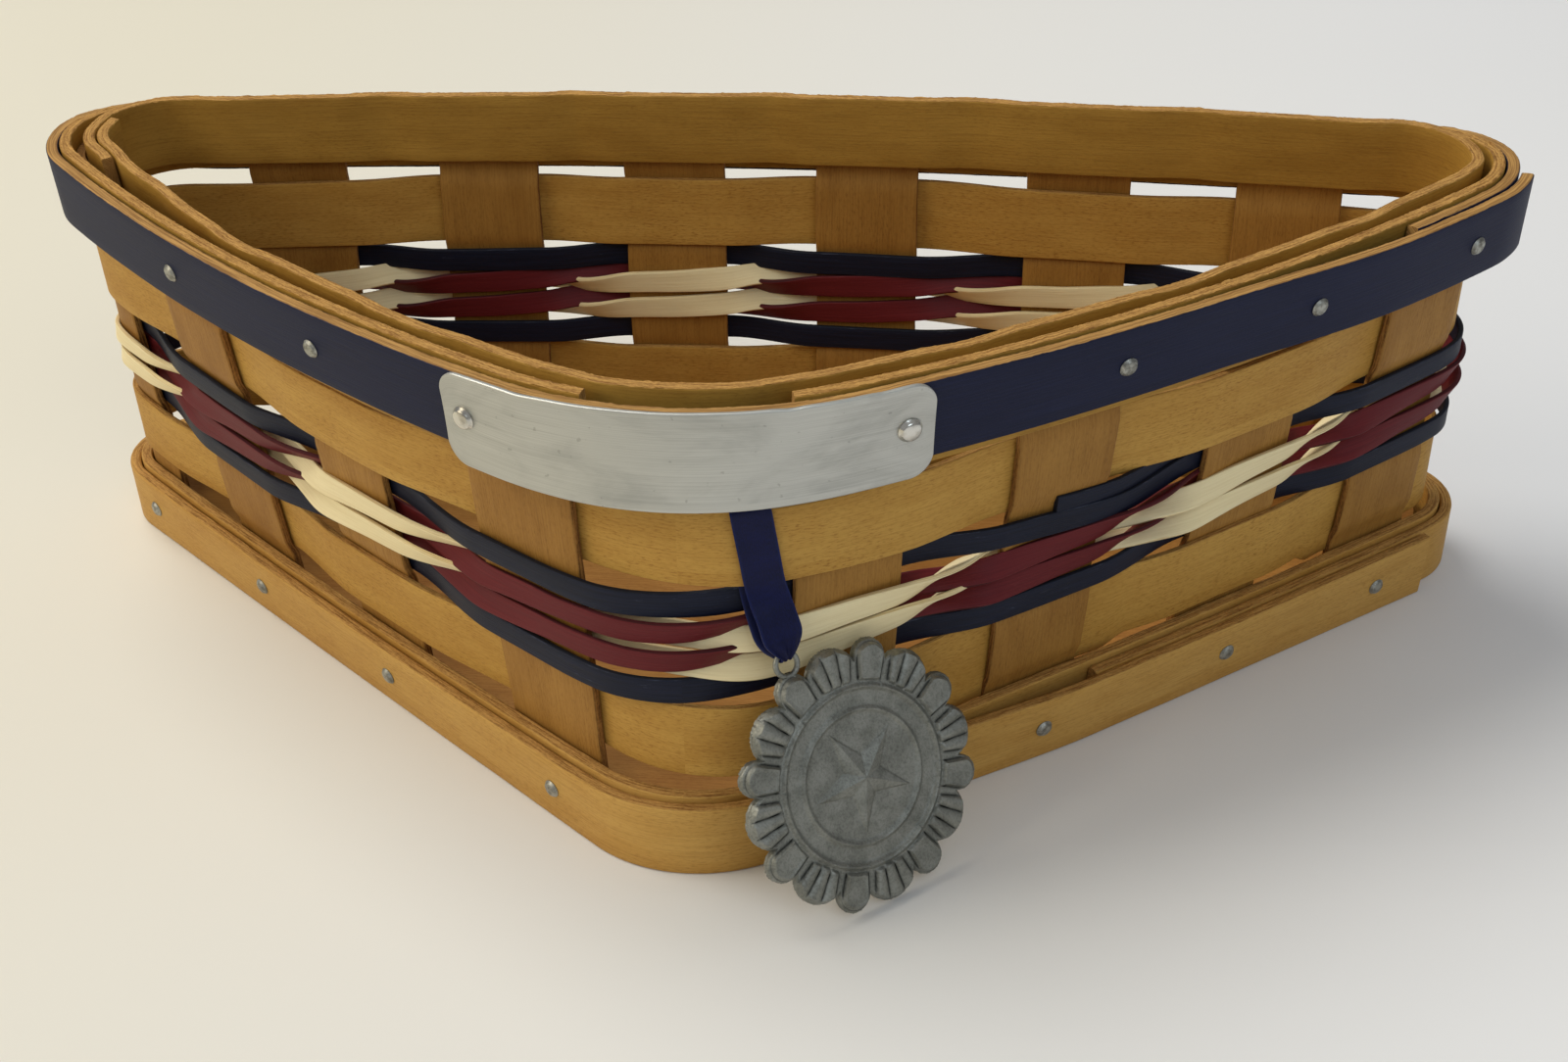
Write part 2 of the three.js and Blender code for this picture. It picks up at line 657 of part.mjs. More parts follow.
function buildRim() {
  const navy = wallStrip({
    from: navyStart,
    to: navyEnd,
    low: (at) => rimHeight(at) - NAVY_STRIP_WIDTH,
    high: rimHeight,
    inset: navyInset,
    thickness: BAND_THICKNESS,
    extra: rampBefore(navyEnd, NAVY_LAP),
  });
  addPiece(group, 'rim_navy_strip', drill(navy, rimHoles), NAVY);
  const outer = wallStrip({
    from: share(OUTER_RIM_GAP_RIGHT),
    to: 1 + share(OUTER_RIM_GAP_LEFT),
    low: (at) => rimHeight(at) + OUTER_RIM_TOP - OUTER_RIM_WIDTH,
    high: (at) => rimHeight(at) + OUTER_RIM_TOP,
    inset: SECOND_INSET,
    thickness: BAND_THICKNESS,
  });
  addPiece(group, 'rim_outer_band', drill(outer, rimHoles), WOOD);
  const inner = wallStrip({
    from: innerStart,
    to: innerEnd,
    low: (at) => rimHeight(at) + INNER_RIM_TOP - INNER_RIM_WIDTH,
    high: (at) => rimHeight(at) + INNER_RIM_TOP,
    inset: innerInset,
    thickness: BAND_THICKNESS,
    extra: [...innerRamp, (innerRamp[0] + innerRamp[1]) / 2],
  });
  addPiece(group, 'rim_inner_band', drill(inner, rimHoles), WOOD);
}

function buildBase() {
  const strip = wallStrip({
    from: 0,
    to: 1,
    low: 0,
    high: BASE_STRIP_HEIGHT,
    inset: SECOND_INSET,
    thickness: BAND_THICKNESS,
    closed: true,
  });
  addPiece(group, 'base_inner_strip', drill(strip, baseHoles), WOOD);
  const band = wallStrip({
    from: baseStart,
    to: baseEnd,
    low: 0,
    high: BASE_BAND_HEIGHT,
    inset: baseInset,
    thickness: BAND_THICKNESS,
    extra: rampBefore(baseEnd, BASE_LAP),
  });
  addPiece(group, 'base_outer_band', drill(band, baseHoles), WOOD);
  addPiece(group, 'base_board', drill(boardGeometry(), baseHoles), WOOD);
}

// The board fills the plan inside the upright splints
function boardGeometry() {
  const rims = [0, BOARD_THICKNESS].map((z) => levels.map((level) => levelPoint(level, z, INNER_INSET)));
  const count = levels.length;
  const caps = THREE.ShapeUtils.triangulateShape(rims[0].map((p) => new THREE.Vector2(p.x, p.y)), []);
  const index = caps.flatMap(([a, b, c]) => [a, c, b, a + count, b + count, c + count]);
  for (let i = 0; i < count; i++) {
    const j = (i + 1) % count;
    index.push(i, j, j + count, i, j + count, i + count);
  }
  const geometry = new THREE.BufferGeometry();
  const positions = rims.flat().flatMap((p) => [p.x, p.y, p.z]);
  geometry.setAttribute('position', new THREE.Float32BufferAttribute(positions, 3));
  geometry.setIndex(index);
  return faceOutwards(geometry);
}

function buildFasteners() {
  for (const { at, name } of rimNails) {
    const face = navyFace(at) - SEAT;
    const nail = nailGeometry(rimDepth - LAYER - face, NAIL_HEAD_RADIUS);
    addPiece(group, `rim_nail_${name}`, nail.applyMatrix4(alongWall(at, nailHeight(at), face)), STEEL);
  }
  for (const upright of uprights) {
    const [at, name] = [basePlace(upright), upright.name];
    const face = baseFace(at) - SEAT;
    const nail = nailGeometry(baseDepth - face, NAIL_HEAD_RADIUS);
    addPiece(group, `base_nail_${name}`, nail.applyMatrix4(alongWall(at, BASE_NAIL_Z, face)), STEEL);
  }
  for (const { at, name } of tagRivets) {
    const face = OUTER_INSET - 2 * SEAT - TAG_THICKNESS;
    const rivet = nailGeometry(rimDepth - LAYER - face, RIVET_HEAD_RADIUS);
    const side = name.split('_')[0];
    addPiece(group, `tag_rivet_${side}`, rivet.applyMatrix4(alongWall(at, nailHeight(at), face)), STEEL);
  }
}

// The tag is a blank metal strip with round corners, bent round the front corner over the navy strip
function buildTag() {
  const start = TAG_CENTRE - TAG_LENGTH / 2;
  const end = TAG_CENTRE + TAG_LENGTH / 2;
  const cut = (at) => {
    const fromEnd = Math.min(at * wallLength - start, end - at * wallLength);
    const x = Math.max(0, TAG_CORNER - fromEnd);
    return TAG_CORNER - Math.sqrt(Math.max(0, TAG_CORNER ** 2 - x ** 2));
  };
  const flat = 0.94;
  const bites = [0.03, 0.12, 0.35, 0.65, 1].map((t) => t * TAG_CORNER);
  const tag = wallStrip({
    from: share(start + bites[0] * flat),
    to: share(end - bites[0] * flat),
    low: (at) => rimHeight(at) + TAG_TOP - TAG_WIDTH + cut(at),
    high: (at) => rimHeight(at) + TAG_TOP - cut(at),
    inset: OUTER_INSET - SEAT - TAG_THICKNESS,
    thickness: TAG_THICKNESS,
    extra: bites.slice(1).flatMap((bite) => [share(start + bite), share(end - bite)]),
  });
  const holes = tagRivets.map(({ at }) => holeAt(at, nailHeight(at), 2));
  addPiece(group, 'tag', drill(tag, holes), TAG_METAL);
}

// The medallion's axes before it rolls in its own plane: along its face, up it, and out of it
function medallionAxes() {
  const facing = THREE.MathUtils.degToRad(MEDAL_FACING);
  const lean = THREE.MathUtils.degToRad(MEDAL_LEAN);
  const right = new THREE.Vector3(Math.cos(facing), Math.sin(facing), 0);
  const back = new THREE.Vector3(-right.y, right.x, 0);
  const up = new THREE.Vector3(0, 0, Math.cos(lean)).addScaledVector(back, Math.sin(lean));
  return { right, up, out: right.clone().cross(up) };
}

function medallionMatrix() {
  const { right, up, out } = medallionAxes();
  const roll = new THREE.Matrix4().makeRotationZ(THREE.MathUtils.degToRad(MEDAL_ROLL));
  return new THREE.Matrix4().makeBasis(right, up, out).multiply(roll).setPosition(EYE_CENTRE);
}

// A cast rosette: round petals and fluted fans in turn, a raised ring and a dished middle
function medallionGeometry() {
  const around = 64;
  const profile = [
    { reach: 1, height: 0.3 },
    { reach: 0.93, height: 1 },
    { reach: 0.72, height: 0.9 },
    { reach: 0.69, height: 1.6 },
    { reach: 0.65, height: 0.6 },
  ];
  const lobe = (angle, middle, tip, radius) => {
    const pitch = (2 * Math.PI) / MEDAL_PETALS;
    const off = Math.abs(((angle - middle + pitch * MEDAL_PETALS + pitch / 2) % pitch) - pitch / 2);
    const centre = tip - radius;
    const half = radius ** 2 - (centre * Math.sin(off)) ** 2;
    return half > 0 ? centre * Math.cos(off) + Math.sqrt(half) : 0;
  };
  const edge = (angle) => Math.max(
    lobe(angle, 0, MEDAL_RADIUS, PETAL_RADIUS),
    lobe(angle, Math.PI / MEDAL_PETALS, MEDAL_RADIUS * FAN_REACH, FAN_RADIUS),
  );
  const positions = [];
  const rows = [{ reach: 1, height: -1 }, ...profile];
  for (const { reach, height } of rows) {
    const z = height < 0 ? -MEDAL_BACK : height * MEDAL_FRONT;
    for (let i = 0; i < around; i++) {
      const angle = (i / around) * 2 * Math.PI;
      const plain = MEDAL_RADIUS * 0.93;
      const radius = reach > 0.9 ? edge(angle) * reach : plain * reach;
      positions.push(radius * Math.sin(angle), radius * Math.cos(angle) - MEDAL_NECK, z);
    }
  }
  const backCentre = positions.length / 3;
  positions.push(0, -MEDAL_NECK, -MEDAL_BACK, 0, -MEDAL_NECK, profile.at(-1).height * MEDAL_FRONT);
  const index = [];
  for (let i = 0; i < around; i++) {
    const j = (i + 1) % around;
    index.push(backCentre, i, j);
    for (let row = 0; row < rows.length - 1; row++) {
      const a = row * around;
      const b = a + around;
      index.push(a + i, b + i, b + j, a + i, b + j, a + j);
    }
    const last = (rows.length - 1) * around;
    index.push(backCentre + 1, last + j, last + i);
  }
  const geometry = new THREE.BufferGeometry();
  geometry.setAttribute('position', new THREE.Float32BufferAttribute(positions, 3));
  geometry.setIndex(index);
  const disc = toSolid(faceOutwards(geometry));
  const eye = toSolid(new THREE.TorusGeometry(EYE_RADIUS, EYE_WIRE, 6, 16));
  const neckLength = 2 * EYE_WIRE + MEDAL_NECK - MEDAL_RADIUS - EYE_RADIUS;
  const neck = new THREE.CylinderGeometry(EYE_WIRE, 2 * EYE_WIRE, neckLength, 8);
  neck.translate(0, -EYE_RADIUS - EYE_WIRE, 0);
  return toGeometry(disc.add(eye).add(toSolid(neck)));
}

function buildMedallion() {
  addPiece(group, 'medallion', medallionGeometry().applyMatrix4(medallionMatrix()), PEWTER);
}

// A ribbon swept through path points, each with its broad direction and half width
function ribbonSweep(path) {
  const rings = path.map(({ point, across, half }, i) => {
    const before = path[Math.max(0, i - 1)].point;
    const after = path[Math.min(path.length - 1, i + 1)].point;
    const along = after.clone().sub(before).normalize();
    const face = new THREE.Vector3().crossVectors(across, along).normalize();
    const corner = (side, depth) => point.clone().addScaledVector(across, side * half)
      .addScaledVector(face, (depth * RIBBON_THICKNESS) / 2);
    return [corner(-1, -1), corner(1, -1), corner(1, 1), corner(-1, 1)];
  });
  return ringSweep(rings, false);
}

// Distance of the ribbon's middle from the face of the weaver that carries it
const RIBBON_REACH = SEAT + RIBBON_THICKNESS / 2;

// The ribbon's upper part goes over the upper wide weaver and back under it. Its turns are given
// as steps inwards and upwards from the weaver's middle.
function ribbonLoop({ carrier, carrierCentre }) {
  const at = share(RIBBON_PLACE);
  const half = share(RIBBON_WIDTH / 2);
  const depth = WIDE_WEAVER_THICKNESS / 2 + RIBBON_REACH + RIBBON_SLACK;
  const rise = WIDE_WEAVER_WIDTH / 2 + RIBBON_REACH;
  const bend = RIBBON_REACH;
  const turns = [
    [-depth, ribbonSplit + SEAT - carrierCentre],
    [-depth, 0],
    [-depth, rise - bend],
    [-depth / 2, rise],
    [depth / 2, rise],
    [depth, rise - bend],
    [depth, 0],
    [depth, bend - rise],
    [depth / 2, -rise],
    [0, -rise],
  ];
  const path = turns.map(([inwards, upwards]) => {
    const edge = (place) => wallPoint(place, carrierCentre + upwards, carrier(place) + inwards);
    const across = edge(at + half).sub(edge(at - half));
    return { point: edge(at), across: across.clone().normalize(), half: across.length() / 2 };
  });
  return ribbonSweep(path);
}

// The hanging part runs down in front, through the medallion's eye and up again behind
function ribbonTails({ carrier }) {
  const at = share(RIBBON_PLACE);
  const { right, up, out } = medallionAxes();
  const wire = EYE_CENTRE.clone().addScaledVector(up, EYE_RADIUS);
  const outward = wallNormal(at, ribbonSplit);
  const side = new THREE.Vector3(-outward.y, outward.x, 0).normalize();
  const gap = (RIBBON_THICKNESS + SEAT) / 2;
  const bend = EYE_WIRE + RIBBON_REACH;
  const depth = WIDE_WEAVER_THICKNESS / 2 + RIBBON_REACH + RIBBON_SLACK;
  const top = wallPoint(at, ribbonSplit, carrier(at) - depth).addScaledVector(outward, -gap);
  const leg = (t, layer) => ({
    point: top.clone().lerp(wire, t)
      .addScaledVector(outward.clone().lerp(out, t).normalize(), layer * (gap + (bend - gap) * t ** 3)),
    across: side.clone().lerp(right, t).normalize(),
    half: (RIBBON_WIDTH + (RIBBON_FOLD_WIDTH - RIBBON_WIDTH) * smooth((t - 0.35) / 0.5)) / 2,
  });
  const fold = [0, 0.25, 0.5, 0.75, 1].map((turn) => ({
    point: wire.clone()
      .addScaledVector(out, bend * Math.cos(turn * Math.PI))
      .addScaledVector(up, -bend * Math.sin(turn * Math.PI)),
    across: right,
    half: RIBBON_FOLD_WIDTH / 2,
  }));
  const run = [0, 0.35, 0.65, 0.85];
  return ribbonSweep([...run.map((t) => leg(t, 1)), ...fold, ...run.toReversed().map((t) => leg(t, -1))]);
}

function buildRibbon(weave) {
  addPiece(group, 'ribbon_loop', ribbonLoop(weave), SATIN);
  addPiece(group, 'ribbon_tails', ribbonTails(weave), SATIN);
}

buildUprights();
const weave = buildWeavers();
buildRim();
buildBase();
buildFasteners();
buildTag();
buildMedallion();
buildRibbon(weave);

export default group;
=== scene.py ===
"""A three-sided basket of woven splints: upright splints between nailed rim and base bands, plain
and twined weavers, a bent metal tag, and a cast medallion hanging on a ribbon. Each piece is a
surface worked out on the basket's own wall, from the same sizes as the CAD model."""
import math

import bpy
import numpy as np
from mathutils import Matrix


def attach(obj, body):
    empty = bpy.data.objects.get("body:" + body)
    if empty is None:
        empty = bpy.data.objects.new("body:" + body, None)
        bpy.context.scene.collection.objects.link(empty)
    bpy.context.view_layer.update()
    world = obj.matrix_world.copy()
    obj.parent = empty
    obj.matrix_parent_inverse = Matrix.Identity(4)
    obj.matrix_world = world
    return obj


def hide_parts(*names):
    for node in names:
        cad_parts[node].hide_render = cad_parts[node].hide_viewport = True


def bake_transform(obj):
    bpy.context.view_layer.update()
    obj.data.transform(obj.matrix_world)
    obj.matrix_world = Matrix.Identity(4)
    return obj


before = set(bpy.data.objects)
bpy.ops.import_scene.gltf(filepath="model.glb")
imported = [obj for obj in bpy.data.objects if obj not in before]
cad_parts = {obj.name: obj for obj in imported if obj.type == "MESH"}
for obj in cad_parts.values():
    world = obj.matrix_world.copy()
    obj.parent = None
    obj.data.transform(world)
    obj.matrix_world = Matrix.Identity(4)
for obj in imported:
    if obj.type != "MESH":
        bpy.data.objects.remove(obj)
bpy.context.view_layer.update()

# Lengths in millimetres and angles in degrees. Most are the CAD model's own; the drops, lifts, sags and
# swells are of the visible pieces alone, as the photograph shows them.
MM = 0.001
SHARP_FOLD = 42
SEAT = 0.3

# Rim, base and board
RIM_HEIGHT = 80
RIM_RISE = 1.8
BAND_THICKNESS = 2
NAVY_STRIP_WIDTH = 12.7
OUTER_RIM_WIDTH = 15.7
OUTER_RIM_TOP = 0.4
OUTER_RIM_START, OUTER_RIM_END = 18, -13
INNER_RIM_WIDTH = 12.7
INNER_RIM_TOP = 0.7
NAVY_BACK_DROP, OUTER_BACK_DROP, OUTER_BACK_LIFT, INNER_BACK_LIFT = 2.6, 2.2, 1.3, 0.4
BASE_BAND_HEIGHT = 12.3
BASE_STRIP_HEIGHT = 13.2
BOARD_THICKNESS = 9.5
BOARD_MIDDLE = (0, 10.0)
LAP_RAMP = 40
NAVY_LAP, NAVY_LAP_END = 28, 152
BASE_LAP, BASE_LAP_END = 72, 146
INNER_LAP, INNER_LAP_START = 28, -164

# Uprights, weavers and strands
UPRIGHT_WIDTH = 16.8
WIDER_UPRIGHTS = {"left_4": 20}
UPRIGHT_THICKNESS = 1.4
UPRIGHT_FOOT, UPRIGHT_DROP = 0.8, 2.4
WIDE_WEAVER_WIDTH = 12.7
WIDE_WEAVER_THICKNESS = 1.2
STRAND_WIDTH = 4.2
STRAND_THICKNESS = 0.9
SPARE_END, SPARE_WIDTH, SPARE_RISE = (0.109, 0.1764), 3.8, 3.1
CROSSING_MARGIN = 0.6
TWINED_WIDTH, TWINED_THICKNESS = 4.1, 0.8
EDGE_PHASE = 0.233
# A twined strand's way from one upright's middle to the next: phase in uprights, millimetres outwards,
# millimetres upwards, degrees turned. Its way on to the one after is the same with the signs changed.
STRAND_WAY = np.array([(0, 1.45, 0, 0), (EDGE_PHASE, 1.45, 0.3, -12), (0.36, 1.25, 0.8, -34),
                       (0.5, 0.5, 1.25, -55), (0.6, -0.3, 1.3, -56), (0.68, -1, 1.1, -42),
                       (1 - EDGE_PHASE, -1.4, 0.75, -22), (1, -1.45, 0, 0)])
STRAND_COURSE = np.concatenate([STRAND_WAY, STRAND_WAY[1:] * (1, -1, -1, -1) + (1, 0, 0, 0)])
LEFT_DELAY, FRONT_DELAY, FRONT_GAP_REACH = 0.045, 0.075, 13
WIDE_ROWS = ("wide_upper", "wide_lower")
ROW_HEIGHTS = {"wide_upper": 55.95, "navy_upper": 45.9, "pair_upper": 40.85,
               "pair_lower": 35.8, "navy_lower": 30.75, "wide_lower": 21.7}
WEAVE_RISE = 3.9
BACK_LIFT = {"wide_upper": 0.2, "navy_upper": 1.1, "pair_upper": 1.9, "pair_lower": 1.9, "navy_lower": 1.6,
             "wide_lower": 1.2}
# Rows sag under the spare strand end and close up near the front, at these shares of the way round
SPARE_SAG = {"navy_upper": 2.0, "pair_upper": 1.0, "pair_lower": 0.4}
SAG_PLACE, SAG_REACH = 0.135, 0.032
ROW_CLOSING = {"pair_upper": -0.5, "pair_lower": 0.4}
CLOSING_PLACE, CLOSING_REACH = 0.07, 0.025
# How far the wide weavers swell downwards and upwards on the right, and down where one runs inside
SWELL = {"wide_upper": (1.0, 0.0), "wide_lower": (1.5, 0.5)}
INSIDE_SWELL = {"wide_lower": 2.2}
# Distance from the front corner at which the uprights start to share a wide weaver's bend
GIVE_START, GIVE_RUN = 24, 22

# Ribbon
RIBBON_PLACE = 11.6
RIBBON_SPLIT = 48.5
RIBBON_LEAN, RIBBON_BACK_LEAN = 2.4, 1.9
RIBBON_THICKNESS = 0.42
# Share of the leg, half width, thickness, gather
RIBBON_FRONT_LEG = ((0.15, 3.0, 0.45, 0.05), (0.45, 3.05, 0.5, 0.15), (0.74, 3.1, 0.6, 0.35),
                    (0.93, 2.2, 0.75, 0.9))
RIBBON_BACK_LEG = ((0.93, 2.2, 0.75, 0.9), (0.74, 2.9, 0.6, 0.4), (0.45, 2.9, 0.5, 0.2),
                   (0.15, 2.9, 0.45, 0.1))

# Medallion
EYE_CENTRE = np.array([13.2, -54.0, 38.05])
EYE_RADIUS = 1.8
EYE_WIRE = 0.42
EYE_ASIDE = 2.1
MEDAL_RADIUS = 20.4
MEDAL_NECK = 22.4
MEDAL_FACING, MEDAL_LEAN, MEDAL_ROLL = 42.2, 22.5, 24.35
MEDAL_RING, MEDAL_INNER_RING, MEDAL_STAR = 13.45, 10.1, 8.4
PETAL_LOBE, FAN_LOBE, FAN_REACH = 2.7, 4.4, 0.977
PETAL_FOOT, PETAL_HALF_WIDTH, PETAL_ROUND = 14.3, 2.45, 17.3
# The flutes of a fan spread, in radians, from a point this far from the medallion's middle
FAN_POINT, FAN_SPREAD, FLUTE_PITCH, FAN_TOP = 6.5, 0.285, 0.105, 19.55
RELIEF_START = 14.0
# The medallion's edge from its face to its back: millimetres outwards, and out of the face
MEDAL_EDGE = ((-0.2, 0.35), (0.0, 0.1), (0.05, -0.2), (-0.12, -0.45), (-0.02, -0.6), (0.0, -0.85),
              (-0.35, -1.0))
MEDAL_BACK = -1.0

# Layers of the wall, as depths in from its outermost face
SECOND_INSET = BAND_THICKNESS + SEAT
UPRIGHT_INSET = 2 * SECOND_INSET
UPRIGHT_MIDDLE = UPRIGHT_INSET + UPRIGHT_THICKNESS / 2
INNER_INSET = UPRIGHT_INSET + UPRIGHT_THICKNESS + SEAT


# The camera: metres, radians, and millimetres for its lens and sensor

CAMERA_PLACE = (0.05409, -0.31033, 0.22847)
CAMERA_HEADING, CAMERA_TILT, CAMERA_ROLL = -0.1499, 0.5717, -0.039
CAMERA_LENS, CAMERA_SENSOR = 51.73, 36


def photo_camera():
    """The camera where the photograph was taken: its sight line from its heading and tilt, and then
    its right and upward directions turned by its roll."""
    heading, tilt, roll = CAMERA_HEADING, CAMERA_TILT, CAMERA_ROLL
    level_run = math.cos(tilt)
    sight = np.array([math.sin(heading) * level_run, math.cos(heading) * level_run, -math.sin(tilt)])
    level = np.array([math.cos(heading), -math.sin(heading), 0])
    upright = np.cross(level, sight)
    right = math.cos(roll) * level + math.sin(roll) * upright
    up = math.cos(roll) * upright - math.sin(roll) * level
    camera = bpy.data.objects.new("photo_camera", bpy.data.cameras.new("photo_camera"))
    bpy.context.scene.collection.objects.link(camera)
    turn = np.eye(4)
    turn[:3, :3] = np.stack([right, up, -sight], axis=1)
    turn[:3, 3] = CAMERA_PLACE
    camera.matrix_world = Matrix(turn.tolist())
    camera.data.sensor_width = CAMERA_SENSOR
    camera.data.lens = CAMERA_LENS
    camera.data.clip_start = 0.01
    bpy.context.scene.camera = camera


# The wall

def plan_outline(width, centre_x, front_y, corner_y, front_radius, side_radius, side_bow, back_bow):
    """Three corner circles joined by three bowed sides. Each side is a large arc that touches its two
    corner circles from inside, so its centre lies at (bow - corner radius) from both their centres."""
    corners = np.array([[0, front_y + front_radius], [width / 2 - side_radius, corner_y],
                        [side_radius - width / 2, corner_y]]) + [centre_x, 0]
    radii = np.array([front_radius, side_radius, side_radius])
    bows = np.array([side_bow, back_bow, side_bow])
    after = np.roll(corners, -1, axis=0)
    reach = after - corners
    length = np.linalg.norm(reach, axis=1, keepdims=True)
    reach = reach / length
    outward = np.stack([reach[:, 1], -reach[:, 0]], axis=1)
    first = (bows - radii)[:, None]
    second = (bows - np.roll(radii, -1))[:, None]
    along = (first ** 2 - second ** 2 + length ** 2) / (2 * length)
    bow_centres = corners + reach * along - outward * np.sqrt(first ** 2 - along ** 2)
    angle = lambda v: np.arctan2(v[:, 1], v[:, 0])
    enter = angle(corners - np.roll(bow_centres, 1, axis=0))
    leave = angle(corners - bow_centres)
    end = angle(after - bow_centres)
    sweep = np.stack([leave - enter, end - leave], axis=1).ravel() % (2 * np.pi)
    radius = np.stack([radii, bows], axis=1).ravel()
    return {"centre": np.stack([corners, bow_centres], axis=1).reshape(6, 2), "radius": radius,
            "start": np.stack([enter, leave], axis=1).ravel(),
            "edges": np.concatenate([[0], np.cumsum(radius * sweep)])}


BASE_OUTLINE = plan_outline(246, -1.8, -56, 43.4, 23.4, 13, 10000, 10000)
RIM_OUTLINE = plan_outline(245, 0, -54.9, 34.4, 55, 19, 357, 1250)
WALL_LENGTH = (BASE_OUTLINE["edges"][-1] + RIM_OUTLINE["edges"][-1]) / 2


def outline_points(outline, at):
    """Points and outward normals of an outline at shares of its length, counted anticlockwise from the
    middle of the front corner: the arc that holds each distance, and the angle reached along it."""
    total = outline["edges"][-1]
    distance = (at % 1 * total + outline["edges"][1] / 2) % total
    arc = np.clip(np.searchsorted(outline["edges"], distance, side="right") - 1, 0, 5)
    angle = outline["start"][arc] + (distance - outline["edges"][arc]) / outline["radius"][arc]
    normal = np.stack([np.cos(angle), np.sin(angle)], axis=-1)
    return outline["centre"][arc] + outline["radius"][arc][..., None] * normal, normal


def wall_points(at, z, inset):
    """Points of the wall at shares of the way round, heights, and depths in from the outermost face:
    straight lines from the base outline to the rim outline, both offset inwards by the depth."""
    at, z, inset = np.broadcast_arrays(at, z, inset)
    base, base_normal = outline_points(BASE_OUTLINE, at)
    rim, rim_normal = outline_points(RIM_OUTLINE, at)
    low = base - base_normal * inset[..., None]
    high = rim - rim_normal * inset[..., None]
    rise = (z / RIM_HEIGHT)[..., None]
    return np.concatenate([low + (high - low) * rise, z[..., None]], axis=-1)


def wall_normal(at, z):
    """Outward normal at one place of the wall: its run along crossed with its run upwards."""
    step = 0.0005
    along = wall_points(at + step, z, 0.0) - wall_points(at - step, z, 0.0)
    up = wall_points(at, z + 1, 0.0) - wall_points(at, z - 1.0, 0.0)
    normal = np.cross(along, up)
    return normal / np.linalg.norm(normal)


def share(distance):
    """A distance along the wall as a share of the way round, by the mean length of both outlines."""
    return distance / WALL_LENGTH


def backness(at):
    """0 at the front corner and 1 opposite it, as the fourth power of a sine."""
    return np.sin(np.pi * at) ** 4


def along_back(at):
    """0 on the two near sides and 1 along the back, changing just past the far corners."""
    return smooth((0.5 - np.abs(at % 1 - 0.5) - 0.268) / 0.06)


def rim_height(at):
    """Height of the rim, which rises towards the back."""
    return RIM_HEIGHT + RIM_RISE * backness(at)


def smooth(t):
    """0 below 0, 1 above 1, and three times the square less twice the cube between."""
    t = np.clip(t, 0, 1)
    return t * t * (3 - 2 * t)


FRONT_MARGIN, RIGHT_MARGIN, BACK_MARGIN, LEFT_MARGIN = 26.6, 27.3, 38.6, 16
UPRIGHT_SHIFTS = {"right_1": 1.8, "right_2": 0.7, "right_3": 1.8,
                  "back_1": -1.7, "back_2": -1.1, "back_3": 0.7, "back_5": -1.6, "back_6": -1.7,
                  "left_1": -0.5, "left_2": -2, "left_3": -4.1, "left_4": -2.1}


def upright_places():
    """Shares of the fourteen upright splints: evenly spaced on each side, with small shifts."""
    corner = np.mean([(o["edges"][2] + o["edges"][3] - o["edges"][1]) / 2 / o["edges"][-1]
                      for o in (BASE_OUTLINE, RIM_OUTLINE)])
    first = share(FRONT_MARGIN)
    back = corner + share(BACK_MARGIN)
    sides = (("right", first, corner - share(RIGHT_MARGIN), 4), ("back", back, 1 - back, 6),
             ("left", 1 - corner + share(LEFT_MARGIN), 1 - first, 4))
    return {f"{side}_{i + 1}": at + share(UPRIGHT_SHIFTS.get(f"{side}_{i + 1}", 0))
            for side, start, end, count in sides for i, at in enumerate(np.linspace(start, end, count))}


def half_share(width):
    """Half a splint's width as a share of the way round, at the uprights' own depth."""
    return width / 2 / (WALL_LENGTH - 2 * np.pi * UPRIGHT_MIDDLE)


UPRIGHTS = upright_places()
UPRIGHT_HALVES = {name: half_share(WIDER_UPRIGHTS.get(name, UPRIGHT_WIDTH)) for name in UPRIGHTS}
PLACES = np.array(list(UPRIGHTS.values()))
HALVES = np.array(list(UPRIGHT_HALVES.values())) + share(CROSSING_MARGIN)
GAP_STARTS = PLACES + HALVES
GAP_ENDS = np.append((PLACES - HALVES)[1:], PLACES[0] - HALVES[0] + 1)


def weave_place(at):
    """The upright passed last, and the share of the gap to the next one already covered."""
    wrapped = at % 1
    index = np.searchsorted(PLACES, wrapped, side="right") - 1
    here = np.where(index < 0, wrapped + 1, wrapped)
    index = index % len(PLACES)
    return index, np.clip((here - GAP_STARTS[index]) / (GAP_ENDS[index] - GAP_STARTS[index]), 0, 1)


# Strips and meshes

def wander(at, seed, slowest=2, fastest=30, count=9):
    """A small irregular wave round the basket, between about -1 and 1: a sum of sines with whole
    numbers of waves, so that it closes on itself."""
    random = np.random.default_rng(seed)
    waves = random.integers(slowest, fastest + 1, count)
    phases = random.uniform(0, 2 * np.pi, count)
    weights = 1 / np.sqrt(waves)
    return (np.sin(2 * np.pi * np.multiply.outer(at, waves) + phases) * weights).sum(-1) / weights.sum() * 1.6


